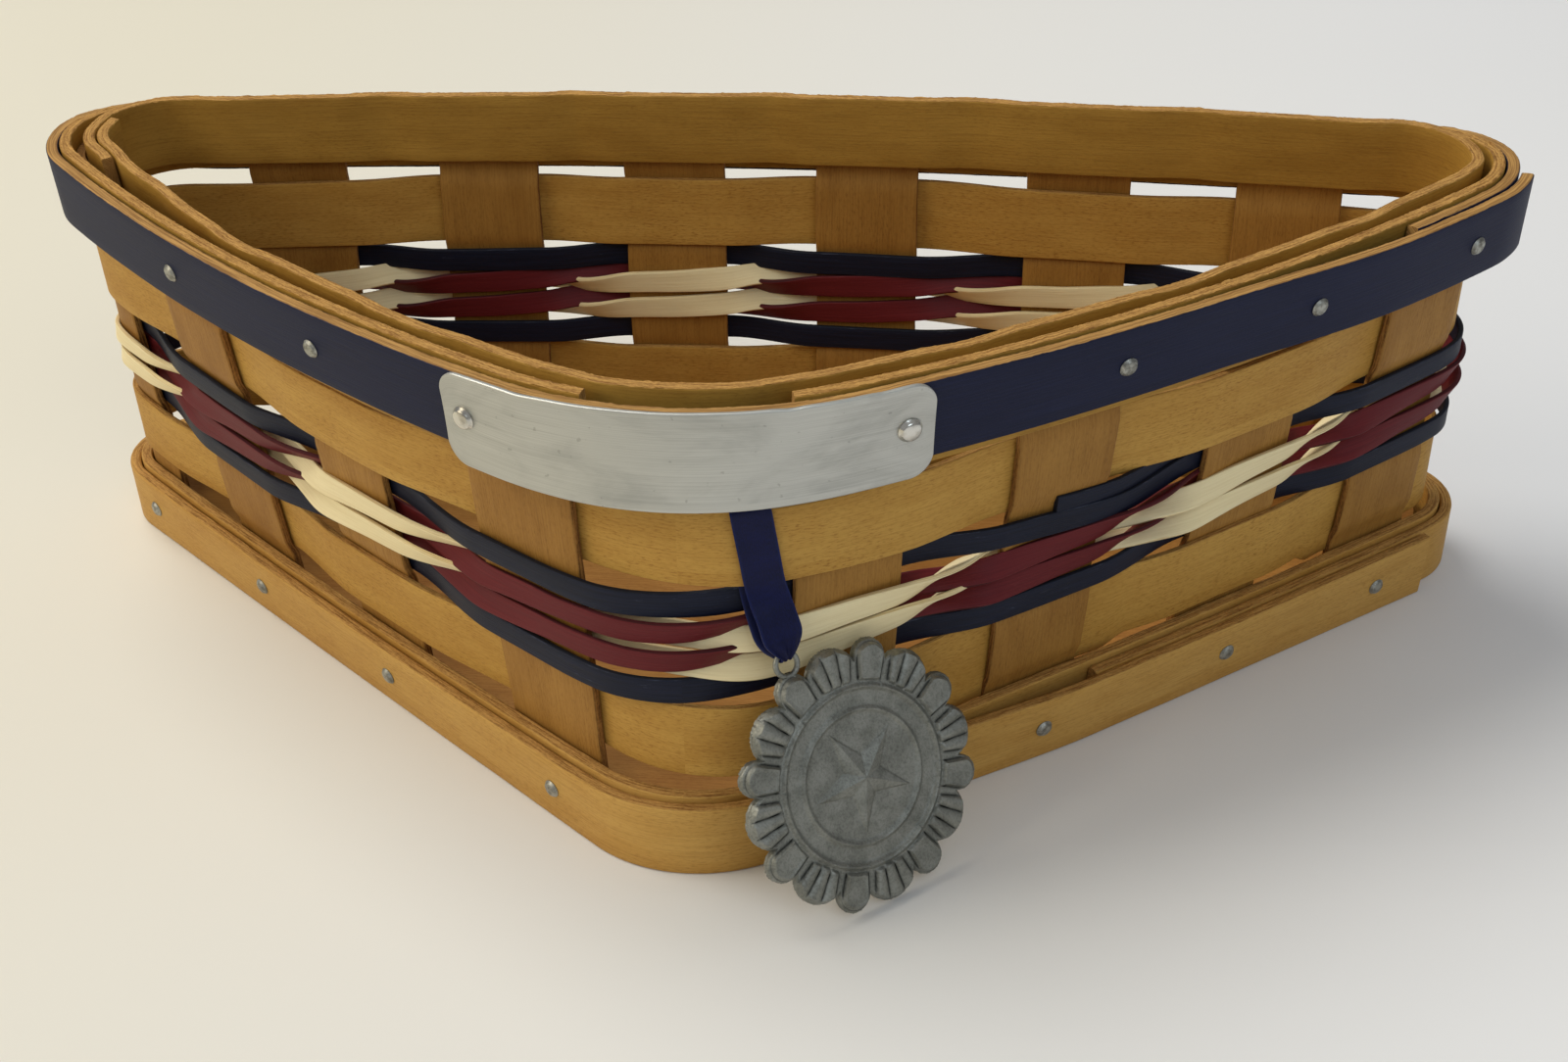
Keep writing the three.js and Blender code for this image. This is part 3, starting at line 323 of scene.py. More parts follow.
def strip_ring(width, thickness, rounding, rows):
    """Ring round a flat strip, a rectangle with rounded corners: depth in from the outer face and
    height from the lower edge, up the outer face and down the inner one, with how sawn each point is."""
    turn = np.linspace(0, np.pi / 2, 4)
    r, w, t = rounding, width, thickness
    face = np.linspace(r, w - r, rows + 1)[1:-1]
    edge = np.array([t / 2])
    plain, sawn = np.zeros_like(face), np.ones_like(edge)
    depth = [np.zeros_like(face), r - r * np.cos(turn), edge, t - r + r * np.sin(turn), np.full_like(face, t),
             t - r + r * np.cos(turn), edge[::-1], r - r * np.sin(turn)]
    height = [face, w - r + r * np.sin(turn), np.full_like(edge, w), w - r + r * np.cos(turn), face[::-1],
              r - r * np.sin(turn), np.zeros_like(edge), r - r * np.cos(turn)]
    raw = [plain, np.sin(turn), sawn, np.cos(turn), plain, np.sin(turn), sawn, np.cos(turn)]
    depth, height, raw = (np.concatenate(parts) for parts in (depth, height, raw))
    return depth, height, raw


def running_length(points, closed):
    """Length along a line of points, one value more than the points where the line closes."""
    ends = np.roll(points, -1, axis=0) if closed else points[1:]
    starts = points if closed else points[:-1]
    return np.concatenate([[0], np.cumsum(np.linalg.norm(ends - starts, axis=1))])


def make_piece(name, points, finish, raw=0.0, closed=False, stands_for=(), body="basket", offset=0.0,
               painted_shade=None):
    """Mesh of a grid of rings: quads between neighbouring rings, and a flat face over each open end.
    Its UV map, grain, runs along the rings' path and round them, in metres, and attributes say how
    sawn each corner of a face is and how much painted shade lies on each point."""
    count, size = points.shape[:2]
    raw = np.broadcast_to(raw, (count, size))
    spans = count if closed else count - 1
    i, k = np.meshgrid(np.arange(spans), np.arange(size), indexing="ij")
    i2, k2 = (i + 1) % count, (k + 1) % size
    quads = np.stack([i * size + k, i2 * size + k, i2 * size + k2, i * size + k2], axis=-1).reshape(-1, 4)
    middle = points.mean(axis=1)
    along = running_length(middle, closed) * MM + offset
    around = running_length(points[count // 2], True) * MM
    u = np.stack([along[i], along[i + 1], along[i + 1], along[i]], axis=-1).ravel()
    v = np.stack([around[k], around[k], around[k + 1], around[k + 1]], axis=-1).ravel()
    sawn = raw.reshape(-1)[quads].ravel()
    faces = quads.tolist()
    if not closed:
        first = np.arange(size)
        last = (count - 1) * size + first[::-1]
        faces += [first.tolist(), last.tolist()]
        u = np.concatenate([u, along[0] + points[0, :, 2] * MM, along[-1] + points[-1, ::-1, 2] * MM])
        v = np.concatenate([v, around[:-1], around[-2::-1]])
        sawn = np.concatenate([sawn, np.ones(2 * size)])
    mesh = bpy.data.meshes.new(name)
    mesh.from_pydata((points.reshape(-1, 3) * MM).tolist(), [], faces)
    grain = np.stack([u, v], axis=1).ravel().astype(np.float32)
    mesh.uv_layers.new(name="grain").data.foreach_set("uv", grain)
    mesh.attributes.new("sawn", "FLOAT", "CORNER").data.foreach_set("value", sawn.astype(np.float32))
    if painted_shade is not None:
        painted_shade = painted_shade.ravel().astype(np.float32)
        mesh.attributes.new("painted_recess_shade", "FLOAT", "POINT").data.foreach_set("value", painted_shade)
    mesh.polygons.foreach_set("use_smooth", np.ones(len(mesh.polygons), dtype=bool))
    mesh.set_sharp_from_angle(angle=math.radians(SHARP_FOLD))
    mesh.materials.append(FINISHES[finish])
    mesh.update()
    piece = bpy.data.objects.new(name, mesh)
    bpy.context.scene.collection.objects.link(piece)
    if stands_for:
        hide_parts(*stands_for)
    if body:
        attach(piece, body)
    return piece


def wall_strip(at, low, high, inset, thickness, rounding=0.3, rows=6, seed=0, edge_wave=0.12, roughness=0.0):
    """A flat strip standing in the wall. Its ring keeps each point's share of the way from the lower
    edge to the upper one and its depth in from the outer face. Edges and face waver a little, and
    sawn edges are broken up by a random grain of the given height."""
    low, high, inset = (np.broadcast_to(value, at.shape) for value in (low, high, inset))
    width = float(np.mean(high - low))
    depth, height, raw = strip_ring(width, thickness, rounding, rows)
    low = low + edge_wave * wander(at, seed + 1)
    high = high + edge_wave * wander(at, seed + 2)
    lean = 0.5 * edge_wave * wander(at, seed + 3)
    part = height / width
    z = low[:, None] + (high - low)[:, None] * part
    if roughness:
        random = np.random.default_rng(seed + 4)
        coarse = np.repeat(random.normal(size=(len(at) // 3 + 1, len(raw))), 3, axis=0)[:len(at)]
        fine = random.normal(size=(len(at), len(raw)))
        z = z + roughness * raw * (0.6 * coarse + 0.5 * fine) * np.where(part > 0.5, 1, 0.3)
    return wall_points(at[:, None], z, inset[:, None] + lean[:, None] + depth), raw


def lap_inset(inset, at, lap_end, lap):
    """Depth of a lapped strip: its outer end rides one layer outside its own beginning."""
    start = lap_end - share(lap + LAP_RAMP)
    return inset - smooth((at - start) / share(LAP_RAMP)) * SECOND_INSET


# Finishes

class Value:
    """A number inside a material. Sums and products of it add Math nodes."""

    def __init__(self, finish, socket):
        self.finish = finish
        self.socket = socket

    def math(self, operation, *others):
        inputs = {i: value for i, value in enumerate(others)}
        return self.finish.node("ShaderNodeMath", {"operation": operation}, inputs)

    def __add__(self, other):
        return self.math("ADD", self, other)

    def __mul__(self, other):
        return self.math("MULTIPLY", self, other)

    __radd__ = __add__
    __rmul__ = __mul__

    def between(self, low, high):
        """0 below low and 1 above high, smoothly."""
        return self.finish.node("ShaderNodeMapRange", {"interpolation_type": "SMOOTHSTEP"},
                                {"Value": self, "From Min": low, "From Max": high})


class Finish:
    """A material with one Principled shader, and a few ways to make patterns for it."""

    def __init__(self, name, **constants):
        self.material = bpy.data.materials.new(name)
        self.material.use_nodes = True
        self.tree = self.material.node_tree
        self.shader = self.tree.nodes["Principled BSDF"]
        for socket, value in constants.items():
            self.shader.inputs[socket.replace("_", " ")].default_value = value

    def node(self, kind, settings=None, inputs=None, output=0):
        """Adds a node, with its settings first and then the values or links of its sockets."""
        made = self.tree.nodes.new(kind)
        for key, value in (settings or {}).items():
            setattr(made, key, value)
        for key, value in (inputs or {}).items():
            self.feed(made.inputs[key], value)
        return Value(self, made.outputs[output])

    def feed(self, socket, value):
        """Links a value to a socket, or sets a plain number, colour or vector there."""
        if isinstance(value, Value):
            self.tree.links.new(value.socket, socket)
        else:
            socket.default_value = value

    def set(self, **links):
        """Feeds the shader's sockets by their names."""
        for socket, value in links.items():
            self.feed(self.shader.inputs[socket.replace("_", " ")], value)

    def place(self):
        """Object coordinates in metres."""
        return self.node("ShaderNodeTexCoord", output="Object")

    def noise(self, where, scale, detail, roughness, distortion=0.0):
        return self.node("ShaderNodeTexNoise", None, {"Vector": where, "Scale": scale, "Detail": detail,
                                                      "Roughness": roughness, "Distortion": distortion})

    def streaks(self, along, across, detail, roughness, distortion=0.0):
        """Noise on the piece's own UV map in metres, drawn out or squeezed along and across the grain."""
        uv = self.node("ShaderNodeUVMap", {"uv_map": "grain"})
        where = self.node("ShaderNodeVectorMath", {"operation": "MULTIPLY"}, {0: uv, 1: (along, across, 1.0)})
        return self.noise(where, 1.0, detail, roughness, distortion)

    def spots(self, scale, detail, roughness):
        """Noise at object coordinates in metres."""
        return self.noise(self.place(), scale, detail, roughness)

    def attribute(self, name):
        """A number that the mesh carries."""
        return self.node("ShaderNodeAttribute", {"attribute_name": name}, output="Fac")

    def mix(self, part, first, second):
        """From the first colour to the second by a share. A colour is a value, or a tone as three numbers."""
        colors = [color if isinstance(color, Value) else tone(*color) for color in (first, second)]
        inputs = {0: part, 6: colors[0], 7: colors[1]}
        return self.node("ShaderNodeMix", {"data_type": "RGBA"}, inputs, output=2)

    def bump(self, height, distance, strength):
        """The surface's normal, tilted by the slope of a height."""
        return self.node("ShaderNodeBump", None,
                         {"Height": height, "Distance": distance, "Strength": strength})


def tone(red, green, blue):
    """A colour as a screen shows it, from 0 to 255, made linear."""
    parts = np.array([red, green, blue]) / 255
    linear = np.where(parts <= 0.04045, parts / 12.92, ((parts + 0.055) / 1.055) ** 2.4)
    return (*linear.tolist(), 1.0)


def splint_finish(name, pale, deep, fleck, sawn_pale, sawn_deep, flecks=0.5, gloss=0.5, lines=0.3):
    """Stained splint wood: slow drifts of tone along the grain, fine fibre lines, a dense nap of short
    torn specks both darker and paler, and long pale and dark fibres on sawn edges."""
    f = Finish(name, Specular_IOR_Level=0.25)
    drift = f.streaks(14, 60, 3.0, 0.55).between(0.3, 0.72)
    fibre = f.streaks(90, 3000, 3.0, 0.6, 0.15)
    nap = f.streaks(900, 3600, 3.0, 0.6)
    patch = f.streaks(60, 120, 2.0, 0.5).between(0.3, 0.7)
    cloud = f.streaks(120, 260, 2.0, 0.5).between(0.35, 0.7)
    body = f.mix(drift * 0.7 + cloud * 0.3, pale, deep)
    body = f.mix(fibre.between(0.42, 0.72) * lines, body, fleck)
    body = f.mix(nap.between(0.5, 0.68) * (patch * 0.6 + 0.4) * flecks, body, fleck)
    body = f.mix(nap.between(0.47, 0.33) * flecks * 0.5, body, pale)
    sawn = f.attribute("sawn")
    torn = f.streaks(150, 3400, 4.0, 0.66)
    crumbs = f.streaks(1500, 2600, 2.0, 0.6)
    edge = f.mix(torn.between(0.36, 0.62) * 0.75 + crumbs.between(0.4, 0.6) * 0.25, sawn_deep, sawn_pale)
    raw = sawn.between(0.6, 0.95)
    color = f.mix(raw, body, edge)
    rough = gloss + fibre * 0.14 + nap * 0.1 + raw * 0.25
    height = fibre * 0.4 + nap * 0.5 + torn * raw * 1.4 + crumbs * raw * 0.4
    f.set(Base_Color=color, Roughness=rough, Normal=f.bump(height, 0.00008, 0.9))
    return f.material


def dyed_finish(name, dye, worn, bare, sawn_tone, sawn_deep, wear=0.4, gloss=0.5, lines=0.5):
    """Dyed splint wood: an even dye with fibre streaks, paler where it is rubbed along the grain and
    at the corners, and with its own fibre on sawn edges."""
    f = Finish(name, Specular_IOR_Level=0.22)
    fibre = f.streaks(70, 3200, 4.0, 0.62, 0.1)
    drift = f.streaks(22, 90, 3.0, 0.5).between(0.3, 0.75)
    scuff = f.streaks(210, 900, 4.0, 0.72)
    rubbed = scuff.between(0.62, 0.74) * fibre.between(0.4, 0.6)
    sawn = f.attribute("sawn")
    body = f.mix(fibre.between(0.35, 0.75) * lines + drift * 0.2, dye, worn)
    body = f.mix(rubbed * wear, body, bare)
    hem = sawn.between(0.2, 0.6) * scuff.between(0.5, 0.66) * wear
    raw = sawn.between(0.62, 0.95)
    color = f.mix(raw, f.mix(hem, body, bare), f.mix(fibre.between(0.35, 0.65), sawn_deep, sawn_tone))
    rough = gloss + fibre * 0.16 + rubbed * 0.1 + raw * 0.15
    f.set(Base_Color=color, Roughness=rough, Normal=f.bump(fibre + scuff * 0.5, 0.00008, 0.8))
    return f.material


def steel_finish():
    """Nail steel: soft grey with a dull pitted skin and darker specks."""
    f = Finish("nail_steel", Metallic=1.0)
    pits = f.spots(900.0, 4.0, 0.65)
    fine = f.spots(3500.0, 2.0, 0.6)
    color = f.mix(pits.between(0.35, 0.7), (176, 176, 168), (118, 116, 108))
    f.set(Base_Color=color, Roughness=0.3 + pits * 0.25 + fine * 0.1,
          Normal=f.bump(pits + fine * 0.4, 0.00012, 0.7))
    return f.material


def rivet_finish():
    """Bright plated rivet: nearly a mirror, with a few fine scratches and a faint bloom."""
    f = Finish("rivet_steel", Metallic=1.0)
    bloom = f.spots(420.0, 3.0, 0.6)
    fine = f.spots(4200.0, 2.0, 0.6)
    color = f.mix(bloom.between(0.4, 0.75), (214, 211, 203), (168, 163, 152))
    f.set(Base_Color=color, Roughness=0.14 + bloom.between(0.45, 0.8) * 0.2 + fine * 0.06,
          Normal=f.bump(bloom + fine * 0.2, 0.00008, 0.6))
    return f.material


def tag_finish():
    """Brushed pale aluminium: fine lines along the plate, cloudy smudges and a few dull scratches."""
    f = Finish("tag_metal", Metallic=0.85)
    brushed = f.streaks(40, 9000, 3.0, 0.6)
    smudge = f.streaks(55, 120, 4.0, 0.65, 0.6).between(0.4, 0.7)
    scratch = f.streaks(26, 1500, 2.0, 0.5).between(0.66, 0.72)
    specks = f.streaks(700, 700, 2.0, 0.5).between(0.68, 0.74)
    color = f.mix(brushed.between(0.3, 0.75) * 0.6 + smudge * 0.35, (198, 198, 192), (168, 168, 162))
    color = f.mix(scratch * 0.3 + specks * 0.4, color, (136, 134, 128))
    f.set(Base_Color=color, Roughness=0.36 + brushed * 0.1 + smudge * 0.16,
          Normal=f.bump(brushed * 0.5 + smudge * 2.0, 0.00003, 0.6))
    return f.material


def pewter_finish():
    """Cast pewter: grey, with painted shade in its recesses by the height of the relief, so that its
    crests stay brighter, and with a fine grainy skin."""
    f = Finish("pewter", Metallic=0.9)
    painted_shade_depth = f.attribute("painted_recess_shade")
    cloud = f.spots(260.0, 4.0, 0.6)
    skin = f.spots(2600.0, 3.0, 0.7)
    grains = skin.between(0.42, 0.68)
    color = f.mix(cloud.between(0.35, 0.7) * 0.6 + grains * 0.4, (150, 151, 144), (112, 113, 106))
    # Painted shade: the recesses of the relief darken towards near black, and are rougher.
    color = f.mix(painted_shade_depth.between(0.15, 0.85), color, (30, 31, 27))
    f.set(Base_Color=color, Roughness=0.38 + cloud * 0.16 + painted_shade_depth * 0.3 + grains * 0.1,
          Normal=f.bump(skin + cloud * 0.8, 0.00012, 0.8))
    return f.material


def satin_finish():
    """Deep blue satin: a sheen along fine threads, soft creases across and a firm woven hem."""
    f = Finish("blue_satin", Specular_IOR_Level=0.2, Sheen_Weight=0.03, Sheen_Roughness=0.4)
    threads = f.streaks(1800, 7000, 2.0, 0.55)
    weft = f.streaks(9000, 1500, 1.0, 0.5)
    crease = f.streaks(260, 90, 3.0, 0.55)
    hem = f.attribute("sawn").between(0.25, 0.9)
    sheen = threads.between(0.3, 0.72) * 0.55 + crease.between(0.4, 0.7) * 0.25
    color = f.mix(sheen, (3, 7, 44), (9, 19, 76))
    color = f.mix(hem * 0.3, color, (26, 42, 104))
    f.set(Base_Color=color, Roughness=0.36 + threads * 0.2 + weft * 0.08,
          Normal=f.bump(threads + weft * 0.5 + crease * 4.0, 0.00005, 0.8))
    return f.material


WOOD_FLECK = (146, 98, 40)
SAWN_PALE = (198, 152, 84)
SAWN_DEEP = (128, 86, 38)
FINISHES = {
    "weaver": splint_finish("weaver_splint", (199, 155, 75), (177, 130, 54), WOOD_FLECK, SAWN_PALE,
                            SAWN_DEEP, flecks=0.75, gloss=0.52),
    "upright": splint_finish("upright_splint", (172, 126, 58), (146, 101, 40), (104, 66, 24),
                             (170, 122, 62), (84, 52, 20), flecks=0.4, gloss=0.48),
    "rim": splint_finish("rim_splint", (182, 140, 60), (156, 114, 42), (118, 78, 26), SAWN_PALE,
                         SAWN_DEEP, flecks=0.35, gloss=0.48),
    "base": splint_finish("base_splint", (204, 160, 84), (184, 136, 60), WOOD_FLECK, SAWN_PALE,
                          SAWN_DEEP, flecks=0.5, gloss=0.48),
    "board": splint_finish("board_wood", (180, 130, 64), (148, 98, 40), (110, 64, 22),
                           (190, 140, 76), (120, 76, 32), flecks=0.35, gloss=0.5),
    "navy_strip": dyed_finish("navy_wood", (19, 23, 48), (31, 37, 68), (60, 64, 92),
                              (190, 146, 84), (130, 92, 46), wear=0.3, gloss=0.5),
    "navy": dyed_finish("black_navy_strand", (15, 19, 34), (30, 37, 62), (80, 86, 106),
                        (30, 33, 44), (20, 22, 30), wear=0.55, gloss=0.45),
    "red": dyed_finish("red_strand", (92, 22, 28), (116, 36, 40), (144, 76, 76),
                       (84, 26, 30), (58, 18, 22), wear=0.3, gloss=0.48),
    "cream": dyed_finish("cream_strand", (247, 231, 186), (234, 214, 164), (204, 172, 112),
                         (236, 218, 172), (206, 180, 128), wear=0.45, gloss=0.52, lines=0.7),
    "steel": steel_finish(),
    "rivet": rivet_finish(),
    "tag": tag_finish(),
    "pewter": pewter_finish(),
    "satin": satin_finish(),
}


# Where plain weavers run

def upright_gives(at):
    """Share of a wide weaver's bend that the upright takes: none at the front corner, half beyond."""
    from_front = WALL_LENGTH * (0.5 - np.abs(at % 1 - 0.5))
    return 0.5 * smooth((from_front - GIVE_START) / GIVE_RUN)


def weaver_middle(at, thickness, outside_at_even, gives=0.0):
    """Depth of a plain weaver's middle: outside every other upright, inside the rest, and eased
    from one side to the other through each gap."""
    index, through = weave_place(at)
    side = np.where((index % 2 == 0) == outside_at_even, 1, -1)
    reach = UPRIGHT_THICKNESS / 2 + SEAT + thickness / 2
    return UPRIGHT_MIDDLE - side * reach * (1 - gives) * (1 - 2 * smooth(through))


# The ribbon

def medallion_axes():
    """Along the medallion's face, up it and out of it, before it rolls in its own plane."""
    facing, lean = math.radians(MEDAL_FACING), math.radians(MEDAL_LEAN)
    right = np.array([math.cos(facing), math.sin(facing), 0])
    back = np.array([-right[1], right[0], 0])
    up = np.array([0, 0, math.cos(lean)]) + back * math.sin(lean)
    return right, up, np.cross(right, up)


def curve_through(knots, count):
    """Even samples of a smooth line through the knots: cubic pieces whose slope at a knot is half the
    step between its neighbours."""
    knots = np.asarray(knots, float)
    padded = np.concatenate([2 * knots[:1] - knots[1:2], knots, 2 * knots[-1:] - knots[-2:-1]])
    t = np.linspace(0, len(knots) - 1, count)
    i = np.minimum(t.astype(int), len(knots) - 2)
    u = (t - i)[:, None]
    a, b, c, d = (padded[i + j] for j in range(4))
    square, cube = 2 * a - 5 * b + 4 * c - d, 3 * b - a - 3 * c + d
    return 0.5 * (2 * b + (c - a) * u + square * u ** 2 + cube * u ** 3)


def make_ribbon():
    """One satin loop: over the upper wide weaver, down in front to the medallion's eye, through it,
    up behind and back under the weaver. Each knot has a centre, a broad direction, a half width, a
    thickness and how deeply it is gathered."""
    at = share(RIBBON_PLACE)
    carrier = float(weaver_middle(np.array(at), WIDE_WEAVER_THICKNESS, True))
    centre = ROW_HEIGHTS["wide_upper"]
    right, up, out = medallion_axes()
    wire = EYE_CENTRE + right * EYE_ASIDE + up * EYE_RADIUS
    outward = wall_normal(at, RIBBON_SPLIT)
    side = np.array([-outward[1], outward[0], 0])
    side = side / np.linalg.norm(side)
    depth = WIDE_WEAVER_THICKNESS / 2 + 0.55
    rise = WIDE_WEAVER_WIDTH / 2 + 0.45
    over = [(depth, -0.4 * rise), (depth, 0.5 * rise), (depth, rise - 0.6), (depth * 0.55, rise),
            (-depth * 0.55, rise), (-depth, rise - 0.6), (-depth, 0.5 * rise), (-depth - 0.1, -0.2 * rise),
            (-depth - 0.2, -0.8 * rise)]
    under = [(depth, -rise - 0.2), (depth + 0.3, -0.7 * rise), (depth + 0.5, -0.1 * rise)]
    reach = EYE_WIRE + 0.75

    def spot(inwards, upwards, aside=0.0):
        return wall_points(at + share(aside), centre + upwards, carrier + inwards)

    def lean(inwards, upwards):
        return RIBBON_LEAN * (inwards < 0) * (rise - upwards) / (2 * rise)

    def leg(top, t, sign):
        foot = wire + out * sign * reach
        return top + (foot - top) * t + out * sign * 0.35 * math.sin(math.pi * t)

    def turned(t):
        between = side * (1 - t) + right * t
        return between / np.linalg.norm(between)

    knots = [(*spot(*step, lean(*step)), *side, 2.95, RIBBON_THICKNESS, 0) for step in over]
    front = spot(-depth - 0.25, -rise, RIBBON_LEAN)
    back = spot(depth - 0.1, -rise - 0.9, RIBBON_BACK_LEAN)
    knots += [(*leg(front, t, 1), *turned(t), *size) for t, *size in RIBBON_FRONT_LEG]
    for angle in np.pi * np.array([0.25, 0.5, 0.75]):
        point = wire + out * reach * math.cos(angle) - up * (EYE_WIRE + 0.38) * math.sin(angle)
        knots.append((*point, *right, 1.05, 0.62, 0.6))
    knots += [(*leg(back, t, -1), *turned(t), *size) for t, *size in RIBBON_BACK_LEG]
    knots += [(*spot(*step, aside), *side, 2.8, RIBBON_THICKNESS, 0)
              for step, aside in zip(under, (1.7, 1.3, 0.9))]
    line = curve_through(knots, 300)
    path, across = line[:, :3], line[:, 3:6]
    half, thick, fold = (line[:, i][:, None] for i in (6, 7, 8))
    along = np.gradient(path, axis=0)
    along /= np.linalg.norm(along, axis=1, keepdims=True)
    across -= along * (across * along).sum(axis=1, keepdims=True)
    across /= np.linalg.norm(across, axis=1, keepdims=True)
    face = np.cross(across, along)
    depths, widths, raw = strip_ring(2.0, 1.0, 0.2, 20)
    place = widths - 1
    pleats = fold * 0.3 * np.sin(place * 2.6 * np.pi + 0.6) * (1 - 0.35 * place ** 2)
    crown = -0.18 * (1 - fold) * place ** 2
    lift = (0.5 - depths) * thick + pleats + crown
    points = path[:, None] + across[:, None] * (place * half)[..., None] + face[:, None] * lift[..., None]
    piece = make_piece("ribbon", points, "satin", raw, stands_for=("ribbon_loop", "ribbon_tails"), body=None)
    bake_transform(piece)
    path[0] * MM
    path * MM


# Splints, strands and bands

def stations(count):
    """Even shares all the way round."""
    return np.linspace(0, 1, count, endpoint=False)


def make_uprights():
    """Upright splints: a flat ring across the splint, carried from the floor to the rim."""
    for number, (name, at) in enumerate(UPRIGHTS.items()):
        width = WIDER_UPRIGHTS.get(name, UPRIGHT_WIDTH)
        depth, across, raw = strip_ring(width, UPRIGHT_THICKNESS, 0.3, 10)
        z = np.linspace(UPRIGHT_FOOT, float(rim_height(at)) - UPRIGHT_DROP, 70)[:, None]
        wave = 0.16 * wander(z[:, 0] / 160, 300 + number, 1, 9)[:, None]
        edges = np.where(across > width / 2, wave, -0.6 * wave)
        shares = at + UPRIGHT_HALVES[name] * (1 - 2 * (across + edges) / width)
        bow = 0.1 * wander(z[:, 0] / 200, 340 + number, 1, 5)[:, None]
        reach = (UPRIGHT_THICKNESS + WIDE_WEAVER_THICKNESS) / 2 + SEAT
        for row in WIDE_ROWS:
            beside = 1 - smooth((np.abs(z - row_height(row, at)) - WIDE_WEAVER_WIDTH / 2 + 1.5) / 3.5)
            bow = bow + beside * upright_gives(at) * reach * (1 if number % 2 == 0 else -1)
        points = wall_points(shares, z, UPRIGHT_INSET + depth + bow)
        make_piece(f"upright_{name}", points, "upright", raw, stands_for=(f"upsplint_{name}",),
                   offset=0.37 * number)


def row_height(row, at):
    """Middle height of a row: it rises towards the back, sags a little where a spare strand end lies
    over it on the right, and the pairs close up after the first upright of the right side."""
    sag = SPARE_SAG.get(row, 0.0) * np.exp(-((at % 1 - SAG_PLACE) / SAG_REACH) ** 2)
    closing = ROW_CLOSING.get(row, 0.0) * np.exp(-((at % 1 - CLOSING_PLACE) / CLOSING_REACH) ** 2)
    return ROW_HEIGHTS[row] + (WEAVE_RISE + BACK_LIFT[row]) * backness(at) - sag + closing


def widened(row, at):
    """Millimetres by which the wide weavers stand lower and higher on the right side, where they
    swell against the rows beside them."""
    right = smooth((at % 1 - 0.03) / 0.04) * smooth((0.3 - at % 1) / 0.04)
    down, up = SWELL.get(row, (0.0, 0.0))
    within = smooth((weaver_middle(at, WIDE_WEAVER_THICKNESS, True) - UPRIGHT_MIDDLE) / 1.2)
    return (down + INSIDE_SWELL.get(row, 0.0) * within) * right, up * right


def make_plain_weavers():
    """Plain weavers: a strip at an even height that slips outside and inside the uprights."""
    at = stations(1200)
    for number, row in enumerate((*WIDE_ROWS, "navy_upper", "navy_lower")):
        wide = row in WIDE_ROWS
        width, thickness, rows, finish = ((WIDE_WEAVER_WIDTH, WIDE_WEAVER_THICKNESS, 6, "weaver") if wide else
                                          (STRAND_WIDTH, STRAND_THICKNESS, 3, "navy"))
        inset = weaver_middle(at, thickness, wide, upright_gives(at) * wide) - thickness / 2
        height = row_height(row, at)
        down, up = widened(row, at)
        points, raw = wall_strip(at, height - width / 2 - down, height + width / 2 + up, inset, thickness,
                                 0.25, rows, seed=20 + 10 * number, edge_wave=0.14)
        make_piece(f"weaver_{row}_splint", points, finish, raw, closed=True, stands_for=(f"weaver_{row}",),
                   offset=1.3 * number)


def make_strand_end():
    """The spare end of the upper navy strand: it starts just past the second upright of the right
    side, over the strand itself, and slips behind the third."""
    at = np.linspace(*SPARE_END, 160)
    height = row_height("navy_upper", at) + SPARE_RISE + 0.35 * smooth((at - 0.14) / 0.03)
    outwards = 0.5 * (1 - smooth((at - 0.11) / 0.03))
    inset = weaver_middle(at, STRAND_THICKNESS, False) - STRAND_THICKNESS / 2 - outwards
    points, raw = wall_strip(at, height - SPARE_WIDTH / 2, height + SPARE_WIDTH / 2, inset + 0.6,
                             STRAND_THICKNESS, 0.25, 3, seed=77)
    make_piece("weaver_navy_upper_end", points, "navy", raw, offset=5.1)


def weave_phase(at):
    """Counts uprights round the basket: a whole number at each one's middle, even steps between."""
    count = len(PLACES)
    painted_shade = np.stack([PLACES - HALVES, PLACES, PLACES + HALVES], axis=1).ravel()
    phases = (np.arange(count)[:, None] + [-EDGE_PHASE, 0, EDGE_PHASE]).ravel()
    painted_shade = np.concatenate([painted_shade - 1, painted_shade, painted_shade + 1])
    phases = np.concatenate([phases - count, phases, phases + count])
    return np.interp(at % 1, painted_shade, phases)


def running_mean(values, window=5):
    """Each value's mean with its neighbours round the ring, taken twice."""
    for _ in range(2):
        values = np.mean([np.roll(values, shift) for shift in range(-window, window + 1)], axis=0)
    return values


def signed_share(at):
    """Share of the way round from the middle of the front, negative on the left."""
    return (at + 0.5) % 1 - 0.5


def front_gap(at):
    """1 in the middle of the front corner, fading out towards the uprights beside it."""
    return np.exp(-(signed_share(at) / share(FRONT_GAP_REACH)) ** 2)


def crossing_delay(at):
    """Share of a gap by which the twined pairs cross later: on the left side, and most at the front."""
    past = signed_share(at)
    left = smooth((0.02 - past) / 0.02) * smooth((past + 0.3) / 0.04)
    return LEFT_DELAY * left + FRONT_DELAY * front_gap(at)


def strand_course(at, first):
    """Where a strand's middle lies, outwards and upwards from the uprights' middle plane, and how far
    its face turns. In one period of two uprights it lies flat outside the first, goes in above its
    partner with its face turned down, lies flat behind the second and comes out below its partner
    with its face turned up, so that the two pass like the halves of a V."""
    phase = (weave_phase(at) - first - crossing_delay(at)) % 2
    phases, *courses = STRAND_COURSE.T
    out, up, turned = (running_mean(np.interp(phase, phases, course)) for course in courses)
    firm = smooth((at - 0.02) / 0.04) * smooth((0.31 - at) / 0.04)
    return out, up, np.radians(turned * (0.72 + 0.42 * firm - 0.25 * front_gap(at)))


